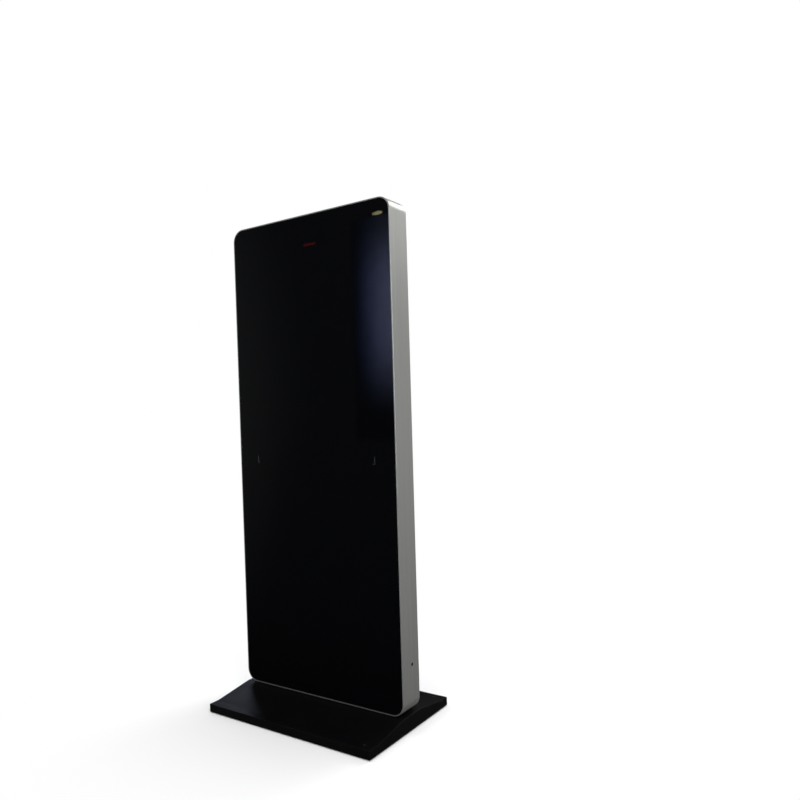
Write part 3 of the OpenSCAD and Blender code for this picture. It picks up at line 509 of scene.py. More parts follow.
def box_mm(name):
    low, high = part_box(name)
    return low / MM, high / MM


def round_part(low, high, along):
    """The middle of the lower end, the radius and the length of a round part that fills a box."""
    at = (low + high) / 2
    at[along] = low[along]
    across = 0 if along else 2
    return at, (high[across] - low[across]) / 2, high[along] - low[along]


def add_box(bm, low, high, rounding=0.4, mat=0):
    made = bmesh.ops.create_cube(bm, size=1)["verts"]
    low, high = Vector(low), Vector(high)
    for vert in made:
        vert.co = Vector([(low[k] + high[k]) / 2 + vert.co[k] * (high[k] - low[k]) for k in range(3)])
    faces = {face for vert in made for face in vert.link_faces}
    for face in faces:
        face.material_index = mat
    if rounding:
        edges = {edge for vert in made for edge in vert.link_edges}
        bmesh.ops.bevel(bm, geom=list(edges), offset=rounding, offset_type="OFFSET", segments=2,
                        profile=0.5, affect="EDGES", clamp_overlap=True)


def add_block(bm, centre, size, rounding=0.4, mat=0):
    """A box by its centre and its size."""
    half = Vector(size) / 2
    add_box(bm, Vector(centre) - half, Vector(centre) + half, rounding, mat)


def turned_to(axis, at):
    """A matrix that carries +Y to the given axis and the origin to a place."""
    turn = {"Y": Matrix(), "-Y": Matrix.Rotation(pi, 4, "Z"), "Z": Matrix.Rotation(pi / 2, 4, "X"),
            "-Z": Matrix.Rotation(-pi / 2, 4, "X"), "X": Matrix.Rotation(-pi / 2, 4, "Z"),
            "-X": Matrix.Rotation(pi / 2, 4, "Z")}[axis]
    return Matrix.Translation(at) @ turn


def add_lathe(bm, profile, at, axis="Y", sides=40, mat=0):
    """Turns (radius, height) points round an axis through a place; a radius of 0 closes the end."""
    place = turned_to(axis, at)
    rings = []
    for radius, along in profile:
        if radius == 0:
            rings.append([bm.verts.new(place @ Vector((0, along, 0)))])
            continue
        rings.append([bm.verts.new(place @ Vector((radius * cos(tau * k / sides), along,
                                                   radius * sin(tau * k / sides)))) for k in range(sides)])
    for first, second in zip(rings, rings[1:]):
        for k in range(sides):
            n = (k + 1) % sides
            corners = [first[k % len(first)], first[n % len(first)], second[n % len(second)], second[k % len(second)]]
            face = bm.faces.new(list(dict.fromkeys(corners)))
            face.material_index = mat


def add_plate(bm, loops, y0, y1, place=None, mat=0):
    """A flat plate between two depths. The first loop of (x, z) points is its outline, the rest its holes."""
    place = place or Matrix()
    flat = [Vector((x, z, 0)) for loop in loops for x, z in loop]
    rows = [[bm.verts.new(place @ Vector((p.x, y, p.y))) for p in flat] for y in (y0, y1)]
    for a, b, c in tessellate_polygon([[Vector((x, z, 0)) for x, z in loop] for loop in loops]):
        for row in rows:
            if len({a, b, c}) == 3:
                bm.faces.new((row[a], row[b], row[c])).material_index = mat
    start = 0
    for loop in loops:
        count = len(loop)
        for k in range(count):
            i, j = start + k, start + (k + 1) % count
            bm.faces.new((rows[0][i], rows[0][j], rows[1][j], rows[1][i])).material_index = mat
        start += count


def circle(radius, at=(0, 0), sides=32, phase=0.0):
    return [(at[0] + radius * cos(tau * (k + phase) / sides), at[1] + radius * sin(tau * (k + phase) / sides))
            for k in range(sides)]


def rectangle(low, high):
    return [(low[0], low[1]), (high[0], low[1]), (high[0], high[1]), (low[0], high[1])]


def rounded(width, height, radius, at=(0, 0), steps=8):
    points = []
    for quarter, (sx, sz) in enumerate([(1, 1), (-1, 1), (-1, -1), (1, -1)]):
        middle = (at[0] + sx * (width / 2 - radius), at[1] + sz * (height / 2 - radius))
        for k in range(steps + 1):
            a = (quarter + k / steps) * pi / 2
            points.append((middle[0] + radius * cos(a), middle[1] + radius * sin(a)))
    return points


def outline(low, high, radius, steps=8, inset=0):
    """A rounded rectangle in the XZ plane that fills a box, or stays inside its edge."""
    size, middle = high - low, (low + high) / 2
    return rounded(size.x - 2 * inset, size.z - 2 * inset, radius, (middle.x, middle.z), steps)


def smooth_path(corners, bend, steps=6):
    """Points along a line through corners, each corner rounded with an arc-like curve."""
    corners = [Vector(c) for c in corners]
    path = [corners[0]]
    for before, here, after in zip(corners, corners[1:], corners[2:]):
        reach = min(bend, (here - before).length * 0.48, (after - here).length * 0.48)
        start = here + (before - here).normalized() * reach
        stop = here + (after - here).normalized() * reach
        for k in range(steps + 1):
            t = k / steps
            path.append(start * (1 - t) ** 2 + here * 2 * t * (1 - t) + stop * t ** 2)
    path.append(corners[-1])
    return path


def add_sweep(bm, path, section, mat=0):
    """Carries a closed (side, up) section along a path without twist, and closes its ends."""
    side = None
    rings = []
    for k, here in enumerate(path):
        along = (path[min(k + 1, len(path) - 1)] - path[max(k - 1, 0)]).normalized()
        if side is None:
            side = along.cross(Vector((0, 0, 1)))
            if side.length < 0.01:
                side = along.cross(Vector((1, 0, 0)))
        side = (side - along * side.dot(along)).normalized()
        above = side.cross(along)
        rings.append([bm.verts.new(here + side * u + above * v) for u, v in section])
    count = len(section)
    for first, second in zip(rings, rings[1:]):
        for k in range(count):
            n = (k + 1) % count
            bm.faces.new((first[k], first[n], second[n], second[k])).material_index = mat
    for ring in (rings[0], rings[-1]):
        bm.faces.new(ring).material_index = mat


def add_cable(bm, corners, radius, bend=18, mat=0, sides=12):
    add_sweep(bm, smooth_path(corners, bend), circle(radius, sides=sides), mat)


def add_screw(bm, at, axis, radius, height, recess="cross", shank=(1.6, 5), mat=0):
    """A pan-head screw whose head stands on a place and points along an axis."""
    place = turned_to(axis, at)
    top = radius * 0.80
    arc = [(top + (radius - top) * cos(a), height * (0.45 + 0.55 * sin(a)))
           for a in (radians(step) for step in range(0, 91, 18))]
    add_lathe(bm, [(0, -shank[1]), (shank[0], -shank[1]), (shank[0], 0), (radius, 0)] + arc, at, axis, 28, mat)
    arm = radius * 0.52
    half = radius * 0.11
    if recess == "cross":
        hole = [(half, half), (half, arm), (-half, arm), (-half, half), (-arm, half), (-arm, -half),
                (-half, -half), (-half, -arm), (half, -arm), (half, -half), (arm, -half), (arm, half)]
    else:
        hole = circle(arm * 0.95, sides=6)
    rim = circle(top, sides=28)
    top_loops = [[Vector((x, z, 0)) for x, z in loop] for loop in (rim, hole)]
    flat = [p for loop in top_loops for p in loop]
    upper = [bm.verts.new(place @ Vector((p.x, height, p.y))) for p in flat]
    for corner in tessellate_polygon(top_loops):
        if len(set(corner)) == 3:
            bm.faces.new([upper[k] for k in corner]).material_index = mat
    floor_depth = height * 0.45
    lower = [bm.verts.new(place @ Vector((x, height - floor_depth, z))) for x, z in hole]
    inner = upper[len(rim):]
    for k in range(len(hole)):
        n = (k + 1) % len(hole)
        bm.faces.new((inner[k], inner[n], lower[n], lower[k])).material_index = mat
    bm.faces.new(lower).material_index = mat
    bmesh.ops.remove_doubles(bm, verts=bm.verts, dist=0.0005)


def screws_at(name, node, along, height, recess, shank_radius, shank=None):
    """One screw in the place of each solid of a node, with its head at the upper end."""
    bm = bmesh.new()
    for low, high in islands(node):
        at, radius, length = round_part(low, high, along)
        at[along] = high[along] - height
        add_screw(bm, at, "XYZ"[along], radius, height, recess, (shank_radius, shank or length - height))
    make(name, bm, node)


def add_hex(bm, at, axis, across, height):
    """A hexagon bolt head with a low round rise on top."""
    add_plate(bm, [circle(across, sides=6)], 0, height, turned_to(axis, at))
    add_lathe(bm, [(across * 0.80, height), (across * 0.74, height + 0.25), (0, height + 0.3)], at, axis, 36)


# ---------------------------------------------------------------- cabinet front


def make_glass():
    """The front pane, with ground edges, and the printed marks on its back."""
    low, high = box_mm("front_glass")
    corner, line, ink = 44, 2.0, 0.1
    bm = bmesh.new()
    add_plate(bm, [outline(low, high, corner, 16)], low.y, high.y - 0.35)
    make("glass_pane", soften(bm, 0.5), "front_glass")
    back = high.y - 0.12
    bm = bmesh.new()
    for low, high in islands("corner_marks"):
        middle = (low + high) / 2
        outer_x = high.x - line / 2 if low.x > 0 else low.x + line / 2
        upright = rounded(line, high.z - low.z, line * 0.49, (outer_x, middle.z), 4)
        foot = rounded(high.x - low.x, line, line * 0.49, (middle.x, low.z + line / 2), 4)
        for shape in (upright, foot):
            add_plate(bm, [shape], back - ink, back)
    make("printed_corner_marks", bm, "corner_marks")


def make_frame():
    softened("side_frame", 0.3)
    softened("seat_gasket", 0.4)
    at, radius, length = round_part(*box_mm("power_button"), 0)
    bm = bmesh.new()
    add_lathe(bm, [(0, 0), (radius - 0.4, 0), (radius, 0.4), (radius, length - 0.9), (radius - 0.25, length - 0.35),
                   (radius - 0.8, length - 0.05), (radius - 1.5, length - 0.25), (radius * 0.45, length - 0.7),
                   (0, length - 0.85)], at, "X")
    make("side_button_cap", bm, "power_button")
    bore = radius + 0.06
    at, outer, length = round_part(*box_mm("power_button_housing"), 0)
    floor = length - 18.4
    bm = bmesh.new()
    add_lathe(bm, [(0, 0), (outer - 1, 0), (outer - 1, 3), (outer, 3.4), (outer, length - 3.2),
                   (outer - 0.5, length - 3), (outer - 0.5, length - 2.6), (outer, length - 2.4),
                   (outer, length - 0.4), (outer - 0.4, length), (bore + 0.2, length), (bore, length - 0.2),
                   (bore, floor), (0, floor)], at, "X")
    for z in (-3, 3):
        add_block(bm, at + Vector((-2.5, 0, z)), (5, 0.8, 2.8), 0.1, 1)
    make("side_button_socket", bm, "power_button_housing", extra=(TIN,))


# ---------------------------------------------------------------- base


def make_base():
    softened("base_cover", 0.9, segments=3, angle=20)
    softened("base_plate", 0.6)
    screws_at("base_screws", "base_cover_screws", 2, 1.6, "hex", 2.0)
    groove = 0.35
    bm = bmesh.new()
    for low, high in islands("base_feet"):
        at, radius, top = round_part(low, high, 2)
        shares = (0.30, 0.34, 0.50, 0.54, 0.70, 0.74, 0.90)
        rings = [(radius * share, groove if step % 2 else 0.0) for step, share in enumerate(shares)]
        add_lathe(bm, [(0, groove), (radius * 0.28, groove), *rings, (radius - 0.8, 0.0), (radius, 0.8),
                       (radius - 0.6, top), (0, top)], at, "Z")
    make("feet", bm, "base_feet")
    head, shank, washer = 5.0, 4.0, 8.5
    bm = bmesh.new()
    for low, high in islands("post_bolts"):
        at = (low + high) / 2
        at.y = 0
        face = high.y - head - 0.3
        add_lathe(bm, [(0, low.y), (shank - 0.4, low.y), (shank, low.y + 0.5), (shank, face), (washer, face),
                       (washer, face + 0.8), (0, face + 0.8)], at, "Y")
        at.y = face
        add_hex(bm, at, "Y", 7.4, head)
    make("frame_bolts", bm, "post_bolts")


# ---------------------------------------------------------------- rear cover, door and lock


def make_screws():
    screws_at("cover_screws", "rear_cover_screws", 1, 1.8, "cross", 1.95)
    screws_at("tray_fixings", "tray_screws", 1, 2.4, "cross", 1.9, 1.4)


def make_rear():
    for node, width in (("rear_cover", 0.3), ("rear_door", 0.3), ("hinge_frame_leaves", 0.2),
                        ("hinge_door_leaves", 0.2)):
        softened(node, width)
    head, shank = 1.15, 2
    bm = bmesh.new()
    for low, high in islands("hinge_pins"):
        at, radius, length = round_part(low, high, 2)
        end = [(0, 0), (radius * 0.7, 0.1), (radius, 0.6), (radius, head), (shank, head)]
        add_lathe(bm, end + [(r, length - along) for r, along in reversed(end)], at, "Z", 28)
    make("pins", bm, "hinge_pins")
    make_filters()


def make_filters():
    """Foam mats held on the inside of the louvres by thin frames with cross bars."""
    bars = 3
    bm = bmesh.new()
    for low, high in islands("door_filters"):
        add_plate(bm, [outline(low, high, 3, inset=3)], low.y + 0.8, high.y)
        add_plate(bm, [outline(low, high, 4), outline(low, high, 2, inset=10)], low.y, low.y + 1.0, mat=1)
        for step in range(bars):
            x = low.x + (high.x - low.x) * (step + 1) / (bars + 1)
            add_box(bm, (x - 2.5, low.y, low.z + 8), (x + 2.5, low.y + 0.9, high.z - 8), 0.2, 1)
    make("filter_mats", bm, "door_filters", extra=(FINISH["steel_zinc"],))


def make_lock():
    low, high = box_mm("lock_housing")
    x, z = (low.x + high.x) / 2, (low.z + high.z) / 2
    bezel, barrel, bore, pitch = (high.x - low.x) / 2, 8.0, 5.06, 1.0
    face = high.y - 2.5
    profile = [(bore, high.y - 0.3), (bore + 0.3, high.y), (bezel - 1.6, high.y), (bezel - 0.5, high.y - 0.6),
               (bezel, high.y - 1.6), (bezel, face), (barrel, face)]
    for k in range(int((face - low.y) / pitch)):
        crest = face - k * pitch
        profile += [(barrel, crest - 0.1), (barrel - 0.45, crest - 0.5)]
    profile += [(barrel, low.y + 0.2), (barrel - 0.4, low.y), (bore, low.y), (bore, high.y - 0.3)]
    bm = bmesh.new()
    add_lathe(bm, profile, (x, 0, z), "Y", 48)
    make("lock_barrel", bm, "lock_housing")
    low, high = box_mm("lock_nut")
    bm = bmesh.new()
    add_plate(bm, [circle(12, (x, z), 6), circle(barrel, (x, z), 32)], low.y, high.y)
    make("lock_hex_nut", soften(bm, 0.35), "lock_nut")
    softened("lock_plug", 0.15)
    softened("lock_cam", 0.3)


# ---------------------------------------------------------------- fans


def add_blade(bm, x, z, turn, hub, tip, front, depth):
    """A swept, twisted blade with two skins, thicker at its root and along its middle."""
    rows, chords = 7, 7
    grid = []
    for face in (-0.5, 0.5):
        for i in range(rows):
            share = i / (rows - 1)
            radius = hub + (tip - hub) * share
            pitch = 0.80 - 0.22 * share
            for j in range(chords):
                t = j / (chords - 1) - 0.5
                swing = t * pitch + 0.16 * share * share + 0.10 * (0.25 - t * t)
                thick = ((1.1 - 0.5 * share) * (1 - 1.6 * t * t) + 0.2) * face
                angle = turn + swing + thick / radius
                y = front + depth * (0.5 - t * (1 - 0.12 * share)) + thick * 0.5
                grid.append(bm.verts.new((x + radius * cos(angle), y, z + radius * sin(angle))))
    size = rows * chords
    for i in range(rows - 1):
        for j in range(chords - 1):
            a = i * chords + j
            quad = (a, a + 1, a + chords + 1, a + chords)
            bm.faces.new([grid[k] for k in quad])
            bm.faces.new([grid[size + k] for k in reversed(quad)])
    rim = [*range(chords - 1), *range(chords - 1, size - 1, chords), *range(size - 1, size - chords, -1),
           *range(size - chords, 0, -chords)]
    for a, b in zip(rim, rim[1:] + rim[:1]):
        bm.faces.new((grid[a], grid[b], grid[size + b], grid[size + a]))


def make_fan(side):
    frame_name, rotor_name = "fan_frame_" + side, "fan_rotor_" + side
    softened(frame_name, 0.5)
    low, high = box_mm(frame_name)
    x, z = (low.x + high.x) / 2, (low.z + high.z) / 2
    low, high = box_mm(rotor_name)
    shaft, hub, tip, blades = 1.5, 18.0, 42.3, 7
    front, back = low.y + 3.2, high.y
    bm = bmesh.new()
    add_lathe(bm, [(0, low.y), (shaft, low.y), (shaft, front), (hub - 1.5, front), (hub, front + 1.2),
                   (hub, back - 1.5), (hub - 0.5, back - 0.6), (hub - 1.6, back), (hub - 4, back),
                   (hub - 4.6, back - 0.7), (0, back - 0.7)], (x, 0, z), "Y", 48)
    for blade in range(blades):
        add_blade(bm, x, z, tau * blade / blades, hub - 0.4, tip, front + 1.5, back - front - 3)
    make(side + "_impeller", bm, rotor_name)


# ---------------------------------------------------------------- connectors


def make_plate(name, node, width, reach, sink, height):
    """A connector's plate with its two screws, left and right of its middle."""
    low, high = box_mm(node)
    bm = soften(cad_mesh(node), width)
    for side in (-1, 1):
        at = ((low.x + high.x) / 2 + side * reach, high.y - sink, (low.z + high.z) / 2)
        add_screw(bm, at, "Y", 3.0, height, "cross", (1.5, 2), 1)
    make(name, bm, node, extra=(FINISH["fastener_zinc"],))


def make_connectors():
    make_plate("inlet_body", "power_inlet", 0.35, 20, 1.0, 1.5)
    bm = bmesh.new()
    for low, high in islands("inlet_pins"):
        add_box(bm, low, high, 0.45)
    make("inlet_blades", bm, "inlet_pins")
    softened("switch_housing", 0.3)
    softened("switch_rocker", 0.35, segments=3)
    make_plate("port_plate", "port_panel", 0.25, 40, 1.2, 1.7)
    make_data_ports()


def make_data_ports():
    """A network jack with its contacts and lamps, and two USB sockets with their tongues."""
    contact, tongue, lamp = 1, 2, 3
    bm = soften(cad_mesh("data_ports"), 0.15)
    for low, high in islands("data_ports"):
        x, y, z = (low.x + high.x) / 2, high.y, (low.z + high.z) / 2
        if high.z - low.z > 10:
            for k in range(8):
                wire_x = x - 4.4 + k * 1.26
                add_cable(bm, [(wire_x, y - 2.2, z - 3.7), (wire_x, y - 8, z - 1.6), (wire_x, y - 12, z - 1.4)],
                          0.22, 1.5, contact, 6)
            for side in (-1, 1):
                add_block(bm, (x + side * 6.9, y - 0.275, z + 4.9), (1.4, 0.45, 1.4), 0.15, lamp)
        else:
            add_block(bm, (x, y - 5.55, z + 0.7), (11.2, 7.9, 1.8), 0.25, tongue)
            for k in range(4):
                add_block(bm, (x - 3.6 + 2.4 * k, y - 5.1, z - 0.235), (1.0, 5.8, 0.17), 0.05, contact)
    make("data_sockets", bm, "data_ports", extra=(GOLD, TONGUE, WHITE_NYLON))


# ---------------------------------------------------------------- electronics behind the door


BOARD_MATS = (CHIP, TIN, WHITE_NYLON, GOLD, FINISH["brass_plain"], FINISH["player_black"], SLEEVE_AND_SHADE_BLACK)
EPOXY, LEAD, NYLON, PIN, CERAMIC, BLACK, DARK = range(1, 8)


def add_board(bm, low, high):
    """The bare board with a hole near each corner; gives the place of its face's lower left corner."""
    inset, thick = 5, 1.6
    holes = [circle(1.6, (x, z), 16) for x in (low.x + inset, high.x - inset) for z in (low.z + inset, high.z - inset)]
    add_plate(bm, [outline(low, high, 2, 4), *holes], low.y, low.y + thick)
    return Vector((low.x, low.y + thick, low.z))


def add_chip(bm, low, size, legs):
    """An epoxy chip on a board in the XZ plane, with leads on its four sides."""
    high = low + Vector(size)
    add_box(bm, low + Vector((0, 0.25, 0)), high, 0.3, EPOXY)
    lead = 1.4
    middle = (low + high) / 2
    for k in range(legs):
        share = (k + 0.5) / legs
        x = low.x + (high.x - low.x) * share
        z = low.z + (high.z - low.z) * share
        for side in (-1, 1):
            out_x = middle.x + side * (high.x - low.x + lead) / 2
            out_z = middle.z + side * (high.z - low.z + lead) / 2
            add_block(bm, (x, low.y + 0.25, out_z), (0.4, 0.5, lead), 0, LEAD)
            add_block(bm, (out_x, low.y + 0.25, z), (lead, 0.5, 0.4), 0, LEAD)


def add_header(bm, low, size, pins):
    """A white pin header: an open nylon tray with a row of pins."""
    high = low + Vector(size)
    wall = 0.8
    add_box(bm, low, (high.x, low.y + 1.2, high.z), 0.15, NYLON)
    for end in (high.z - wall, low.z):
        add_box(bm, (low.x, low.y, end), (high.x, high.y, end + wall), 0.15, NYLON)
    for end in (high.x - wall, low.x):
        add_box(bm, (end, low.y, low.z), (end + wall, high.y, high.z), 0.15, NYLON)
    z = (low.z + high.z) / 2
    for k in range(pins):
        x = low.x + (high.x - low.x) * (k + 0.5) / pins
        add_box(bm, (x - 0.3, low.y, z - 0.3), (x + 0.3, high.y - 0.6, z + 0.3), 0.1, PIN)


def add_small_parts(bm, low, high, face, count, keep_out):
    """Chip resistors and capacitors scattered over a board, clear of the larger parts."""
    placed, edge, clear = 0, 6, 3
    while placed < count:
        x, z = RNG.uniform(low.x + edge, high.x - edge), RNG.uniform(low.z + edge, high.z - edge)
        flat = RNG.random() < 0.5
        if any(a - clear < x < c + clear and b - clear < z < d + clear for a, b, c, d in keep_out):
            continue
        half = (1.0, 0.6) if flat else (0.6, 1.0)
        mat = EPOXY if RNG.random() < 0.6 else CERAMIC
        add_box(bm, (x - half[0], face, z - half[1]), (x + half[0], face + 0.7, z + half[1]), 0.1, mat)
        for side in (-1, 1):
            dx, dz = (side * (half[0] + 0.15), 0) if flat else (0, side * (half[1] + 0.15))
            add_block(bm, (x + dx, face + 0.3, z + dz), (0.6, 0.6, 0.6), 0, LEAD)
        placed += 1


def make_driver_board():
    low, high = box_mm("driver_board")
    bm = bmesh.new()
    origin = add_board(bm, low, high)
    keep_out = []

    def at(dx, dz, width, height, beside, above):
        """A place on the board. Its area, and margins beside and above it, stay free of small parts."""
        x, z = origin.x + dx, origin.z + dz
        keep_out.append((x - beside, z - above, x + width + beside, z + height + above))
        return Vector((x, origin.y, z))

    main, top, fins = 30, 2.2, 8
    place = at(60, 40, main, main, 0, 0)
    add_chip(bm, place, (main, top, main), 26)
    add_box(bm, place + Vector((2, top, 2)), place + Vector((main - 2, top + 1.8, main - 2)), 0.2, BLACK)
    for k in range(fins):
        fin = place + Vector((2.6 + k * 3.5, 4, 2))
        add_box(bm, fin, fin + Vector((1.1, 4, main - 4)), 0.15, BLACK)
    for dx, dz, size, legs in ((22, 44, 14, 12), (26, 70, 10, 12), (100, 30, 11, 6), (100, 84, 9, 6)):
        add_chip(bm, at(dx, dz, size, size, 2, 2), (size, 1.2, size), legs)
    for k in range(4):
        place = at(12 + k * 36, 2, 24, 14, 0, 1)
        add_box(bm, place, place + Vector((24, 11, 14)), 0.4, LEAD)
        # a dark plate across each connector's mating face: partly its black insert, partly painted shade standing in
        # for the open cavity
        add_box(bm, place + Vector((2, 2, -0.4)), place + Vector((22, 9, 0.1)), 0.1, DARK)
    for k in range(5):
        place = at(118 + 9 * (k % 3), 60 + 20 * (k // 3), 0, 0, 5, 5)
        add_lathe(bm, [(0, 0), (3.9, 0), (3.9, 1.2), (3.6, 1.7), (3.9, 2.2), (3.9, 13.2), (3.5, 13.7), (3.1, 13.5),
                       (0, 13.5)], place, "Y", 28, DARK)
        add_lathe(bm, [(0, 13.55), (3.0, 13.55), (3.0, 13.65), (0, 13.7)], place, "Y", 28, LEAD)
    add_header(bm, at(20, 98, 60, 8, 2, 2), (60, 6, 8), 30)
    for k in range(3):
        add_header(bm, at(100 + k * 18, 102, 14, 6, 0, 1), (14, 6, 6), 5)
    for k in range(2):
        place = at(103 + k * 18, 41, 10, 10, 1, 1)
        add_box(bm, place, place + Vector((10, 4.5, 10)), 0.8, EPOXY)
    add_small_parts(bm, low, high, origin.y, 120, keep_out)
    make("driver_board_parts", bm, "driver_board", extra=BOARD_MATS)


def make_touch_controller():
    low, high = box_mm("touch_controller")
    bm = bmesh.new()
    origin = add_board(bm, low, high)
    chip, header, socket = (origin + Vector(offset) for offset in ((30, 0, 16), (8, 0, 38), (60, 0, 3)))
    add_chip(bm, chip, (16, 1.6, 16), 16)
    add_header(bm, header, (70, 4, 6), 34)
    add_box(bm, socket, socket + Vector((12, 6, 10)), 0.4, LEAD)
    keep_out = [(chip.x - 3, chip.z - 3, chip.x + 19, chip.z + 19),
                (header.x - 1, header.z - 1, header.x + 71, header.z + 7),
                (socket.x - 1, socket.z - 1, socket.x + 13, socket.z + 11)]
    add_small_parts(bm, low, high, origin.y, 34, keep_out)
    make("touch_board_parts", bm, "touch_controller", extra=BOARD_MATS)
    bm = bmesh.new()
    for low, high in islands("board_standoffs"):
        x, z = (low.x + high.x) / 2, (low.z + high.z) / 2
        add_plate(bm, [circle(2.6, (x, z), 6)], low.y, high.y)
        add_screw(bm, (x, high.y + 1.62, z), "Y", 2.7, 1.3, "cross", (1.3, 1.6))
    make("standoffs", bm, "board_standoffs")


def make_power_supply():
    """The mains supply: a folded case with rounded slots, corner screws and a terminal block."""
    low, high = box_mm("power_supply")
    bm = soften(cad_mesh("power_supply"), 0.3)
    for x in (low.x + 9, high.x - 9):
        for z in (low.z + 9, high.z - 9):
            add_screw(bm, (x, high.y, z), "Y", 3.0, 1.4, "cross", (1.4, 2))
    ways, pitch, plastic, metal = 5, 9.5, 1, 2
    left, floor, bottom, top = low.x + 14, low.y + 12, low.z - 13, low.z + 0.5
    add_box(bm, (left - 2, floor, bottom), (left + ways * pitch + 2, floor + 3, top), 0.4, plastic)
    for k in range(ways + 1):
        x = left + k * pitch
        add_box(bm, (x - 0.8, floor, bottom), (x + 0.8, floor + 12, top), 0.3, plastic)
    for k in range(ways):
        x = left + (k + 0.5) * pitch
        add_box(bm, (x - 3.6, floor + 3, bottom + 2), (x + 3.6, floor + 3.8, top - 1), 0.1, metal)
        add_screw(bm, (x, floor + 3.8, low.z - 6), "Y", 2.8, 1.6, "cross", (1.3, 2), metal)
    make("supply_case", bm, "power_supply", extra=(FINISH["plastic_black"], TIN))


def make_player():
    """The media player: a finned case with corner screws and four sockets on its upper side."""
    low, high = box_mm("media_player")
    bm = soften(cad_mesh("media_player"), 0.35)
    black, metal, dark = 1, 2, 3
    for x in (low.x + 6, high.x - 6):
        for z in (low.z + 8, high.z - 8):
            add_screw(bm, (x, high.y - 10, z), "Y", 2.8, 1.5, "hex", (1.4, 2), black)
    for dx, width, height, mat in ((84, 15, 6, metal), (116, 14, 7, metal), (140, 14, 7, metal), (24, 12, 10, black)):
        x, y = low.x + dx, low.y + 14
        add_block(bm, (x, y, high.z + 0.35), (width, height, 1.1), 0.3, mat)
        # a dark inlay on each socket's face: partly its black insert, partly painted shade standing in for the opening
        add_block(bm, (x, y, high.z + 0.8), (width - 2, height - 2, 0.4), 0.1, dark)
    make("player_case", bm, "media_player", extra=(FINISH["screw_black"], TIN, SLEEVE_AND_SHADE_BLACK))


def make_speaker(side):
    """A closed speaker box with its rubber roll, paper cone, dust cap and screws."""
    name = "speaker_" + side
    low, high = box_mm(name)
    x, back, z = (low.x + high.x) / 2, high.y, (low.z + high.z) / 2
    bm = soften(cad_mesh(name), 0.4)
    roll = [(26.8, back - 6.2), (25.5, back - 5.0), (23.5, back - 4.6), (21.8, back - 5.4), (21.0, back - 6.6)]
    cone = [(20.6 - 11.8 * (k / 6) ** 0.9, back - 6.8 - 8.5 * k / 6) for k in range(7)]
    rear = [(8.6, back - 15.6), (26.8, back - 15.8), (26.8, back - 6.2)]
    cap = [(9.2, back - 14.4), (8.4, back - 12.6), (6.6, back - 11.0), (3.8, back - 10.0), (0, back - 9.7)]
    add_lathe(bm, roll + cone + rear, (x, 0, z), "Y", 48, 1)
    add_lathe(bm, cap, (x, 0, z), "Y", 40, 1)
    for dx, dz in circle(29.5, sides=4, phase=0.5):
        add_screw(bm, (x + dx, back - 4.0, z + dz), "Y", 2.4, 1.2, "cross", (1.1, 2), 2)
    make(name + "_driver", bm, name, extra=(PAPER, FINISH["fastener_zinc"]))


# ---------------------------------------------------------------- wiring


def add_tie(bm, at, axis, radius, mat):
    """A nylon cable tie round a cable, with its locking head."""
    inner, outer = radius - 0.1, radius + 0.9
    add_lathe(bm, [(inner, -1.4), (outer, -1.4), (outer, 1.4), (inner, 1.4), (inner, -1.4)], at, axis, 24, mat)
    add_block(bm, Vector(at) + Vector((0, outer + 1.1, 0)), (4, 3, 4), 0.4, mat)


def make_looms():
    """Both looms follow the routes of their CAD tubes, with rounded turns, ties and rubber ends."""
    inlet, ports = box_mm("power_inlet"), box_mm("data_ports")
    turn_z = 660
    routes = (("mains_loom", -1, 4.0, (inlet[0].x + inlet[1].x) / 2, box_mm("power_supply")[0].x + 40),
              ("signal_loom", 1, 3.0, ports[0].x + 8, box_mm("media_player")[0].x + 60))
    for node, side, radius, start_x, end_x in routes:
        low, high = box_mm(node)
        run_x = low.x + radius if side < 0 else high.x - radius
        depth, entry_z = low.y + radius, low.z + radius
        first, last = (start_x, high.y, entry_z), (end_x, depth, high.z)
        bm = bmesh.new()
        add_cable(bm, [first, (start_x, depth, entry_z), (run_x, depth, entry_z), (run_x, depth, turn_z),
                       (end_x, depth, turn_z), last], radius, 24, 0, 16)
        for z in range(270, 640, 120):
            add_tie(bm, (run_x, depth, z), "Z", radius, 1)
        add_tie(bm, (run_x - side * 40, depth, turn_z), "X", radius, 1)
        add_lathe(bm, [(radius, 0), (radius + 1.6, 0.4), (radius + 1.4, 5), (radius + 0.6, 12), (radius, 14)],
                  first, "-Y", 24, 2)
        add_lathe(bm, [(radius, -12), (radius + 0.8, -11), (radius + 1.6, -5), (radius + 1.8, -0.4),
                       (radius, -0.1)], last, "Z", 24, 2)
        make(node + "_sleeved", bm, node, extra=(WHITE_NYLON, FINISH["rubber_black"]))


LEAD_MATS = (FINISH["plastic_black"], WIRE_RED, RIBBON, WHITE_NYLON)
CABLE, PLUG, RED, FLAT, TIE = range(5)


def add_plug(bm, at, size):
    """A moulded cable plug, narrower where the cable leaves it; at is its mating face, upwards."""
    at, (width, depth, height) = Vector(at), size
    add_block(bm, at + Vector((0, 0, height / 2)), size, 1.0, PLUG)
    add_block(bm, at + Vector((0, 0, height + 2.75)), (width * 2 / 3, depth * 2 / 3, 6.5), 0.9, PLUG)


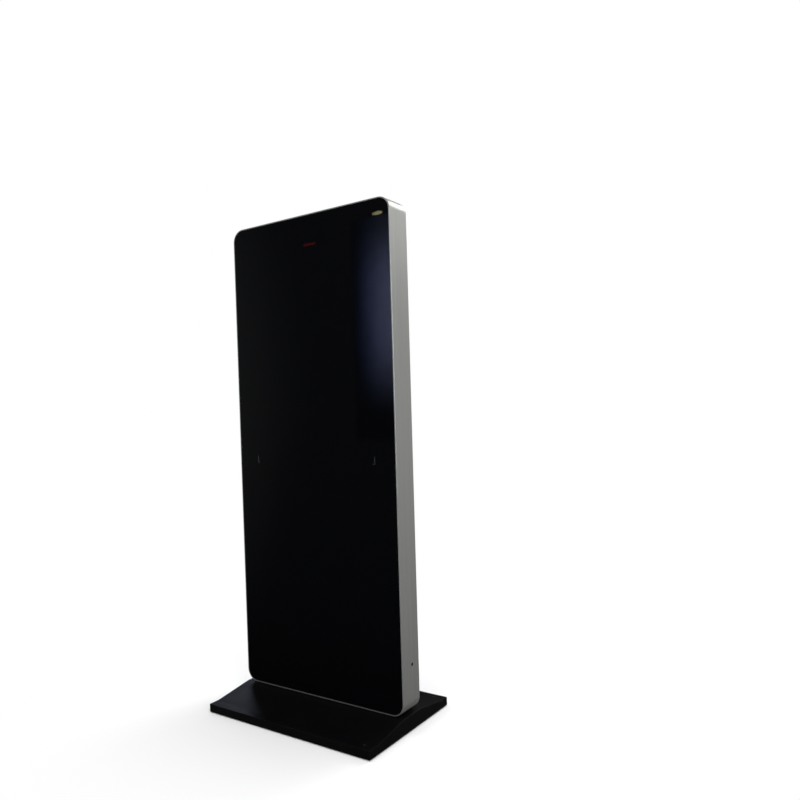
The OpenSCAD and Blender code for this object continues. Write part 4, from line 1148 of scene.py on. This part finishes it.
def add_signal_cables(bm, board, touch, player):
    """The picture cable to the driver board and the USB cable to the touch controller."""
    lead_y, top = player.y + 14, box_mm("media_player")[1].z
    picture_x, socket_x = player.x + 84, board.x + 60
    add_plug(bm, (picture_x, lead_y, top + 1), (19, 10, 16))
    add_plug(bm, (socket_x, board.y + 7.6, board.z - 15), (20, 10, 14))
    add_cable(bm, [(picture_x, lead_y, top + 20), (picture_x, lead_y, top + 62), (socket_x, board.y + 9, board.z - 60),
                   (socket_x, board.y + 7.6, board.z - 10)], 3.0, 30, CABLE)
    usb_x, touch_x = player.x + 116, touch.x + 66
    add_plug(bm, (usb_x, lead_y, top + 1), (16, 8, 14))
    add_plug(bm, (touch_x, touch.y + 4.6, touch.z - 12), (12, 7, 12))
    add_cable(bm, [(usb_x, lead_y, top + 18), (usb_x + 6, lead_y, top + 60), (touch_x - 8, lead_y - 4, touch.z - 46),
                   (touch_x, touch.y + 4.6, touch.z - 8)], 1.9, 26, CABLE)


def add_power_leads(bm, board, corner, tray_y):
    """Four leads from the power supply to the driver board's header; corner is the board's highest one."""
    supply, supply_end = box_mm("power_supply")
    for k, mat in enumerate((RED, CABLE, RED, CABLE)):
        offset = 2.4 * (k - 1)
        x, y = supply_end.x - 36 + offset, supply.y + 15
        end_x, side_x = corner.x - 58 + 2.6 * k, corner.x + 12 + offset
        over_z = corner.z + 16 + offset
        add_cable(bm, [(x, y, supply_end.z - 1), (x, y, supply_end.z + 50), (end_x + 30, tray_y + 4 + k, board.z - 52),
                       (side_x, tray_y + 5, board.z), (side_x, board.y + 5, over_z), (end_x, board.y + 6, over_z),
                       (end_x, board.y + 6, corner.z - 8)], 1.1, 16, mat, 10)


def add_far_leads(bm, board, corner, tray_y):
    """Pairs of thin leads from the fans and the speakers to the driver board."""
    for side in (-1, 1):
        for k, mat in enumerate((RED, CABLE)):
            off = (k - 0.5) * 2.2
            fan_x, centre_x, run_x = side * 60 + off, side * 20 + off, side * 8 + off - 16
            end_x = corner.x - 20 + side * 6 + off
            add_cable(bm, [(fan_x, 44, 1714), (fan_x, 30, 1660), (centre_x, tray_y + 3, 1560),
                           (centre_x, tray_y + 1.6, 1490), (run_x, tray_y + 1.6, 1400),
                           (run_x, tray_y + 1.6, corner.z + 40), (end_x, board.y + 6, corner.z + 26),
                           (end_x, board.y + 6, corner.z - 7)], 0.85, 22, mat, 8)
            speaker_x, run_x = side * 150 + off, side * 3 + off
            end_x = corner.x - 30 + side * 4 + off
            add_cable(bm, [(speaker_x, 40, 366), (speaker_x, 34, 430), (side * 9 + off, 22, 560),
                           (run_x, tray_y + 3, 680), (run_x, tray_y + 1.6, 840), (end_x, tray_y + 4, board.z - 34),
                           (end_x, board.y + 6, board.z + 3)], 0.85, 22, mat, 8)


def add_ribbons(bm, tray_y):
    """Flat cables from the upper edges of both boards, over the tray and through its slots."""
    hole_z = 1160
    for node, dx, start, over, hole_x, far, near, bend, half_width, half_thick in (
            ("driver_board", 50, (5.6, -12), 14, -180, 34, 12, 26, 24, 0.35),
            ("touch_controller", 42, (4.6, -8), 20, 178, 40, 14, 30, 15, 0.30)):
        low, high = box_mm(node)
        x = low.x + dx
        path = [(x, low.y + start[0], high.z + start[1]), (x, low.y + 9, high.z + over),
                (hole_x, tray_y + 6, hole_z - far), (hole_x, tray_y + 3, hole_z - near), (hole_x, tray_y - 9, hole_z)]
        section = rectangle((-half_width, -half_thick), (half_width, half_thick))
        add_sweep(bm, smooth_path(path, bend), section, FLAT)


def make_wiring():
    """The leads between the boxes on the tray, clear of the door."""
    board, corner = box_mm("driver_board")
    tray_y = box_mm("equipment_tray")[1].y
    bm = bmesh.new()
    add_signal_cables(bm, board, box_mm("touch_controller")[0], box_mm("media_player")[0])
    add_power_leads(bm, board, corner, tray_y)
    add_far_leads(bm, board, corner, tray_y)
    add_ribbons(bm, tray_y)
    for x, z in ((0, 1450), (-12, 1250), (3, 760)):
        add_tie(bm, (x, tray_y + 2.4, z), "Z", 3.4, TIE)
    make("tray_leads", bm, slot="cable_black", body="cabinet", extra=LEAD_MATS)


# ---------------------------------------------------------------- inner frame


def make_inner_frame():
    for name in ("equipment_tray", "crossbars", "left_rail", "right_rail", "lcd_brackets"):
        softened(name, 0.3)
    softened("support_post_left", 0.6)
    softened("support_post_right", 0.6)


recolour_cad()
make_camera()
make_studio()
make_glass()
make_frame()
make_base()
make_screws()
make_rear()
make_lock()
make_fan("left")
make_fan("right")
make_connectors()
make_driver_board()
make_touch_controller()
make_power_supply()
make_player()
make_speaker("left")
make_speaker("right")
make_looms()
make_wiring()
make_inner_frame()
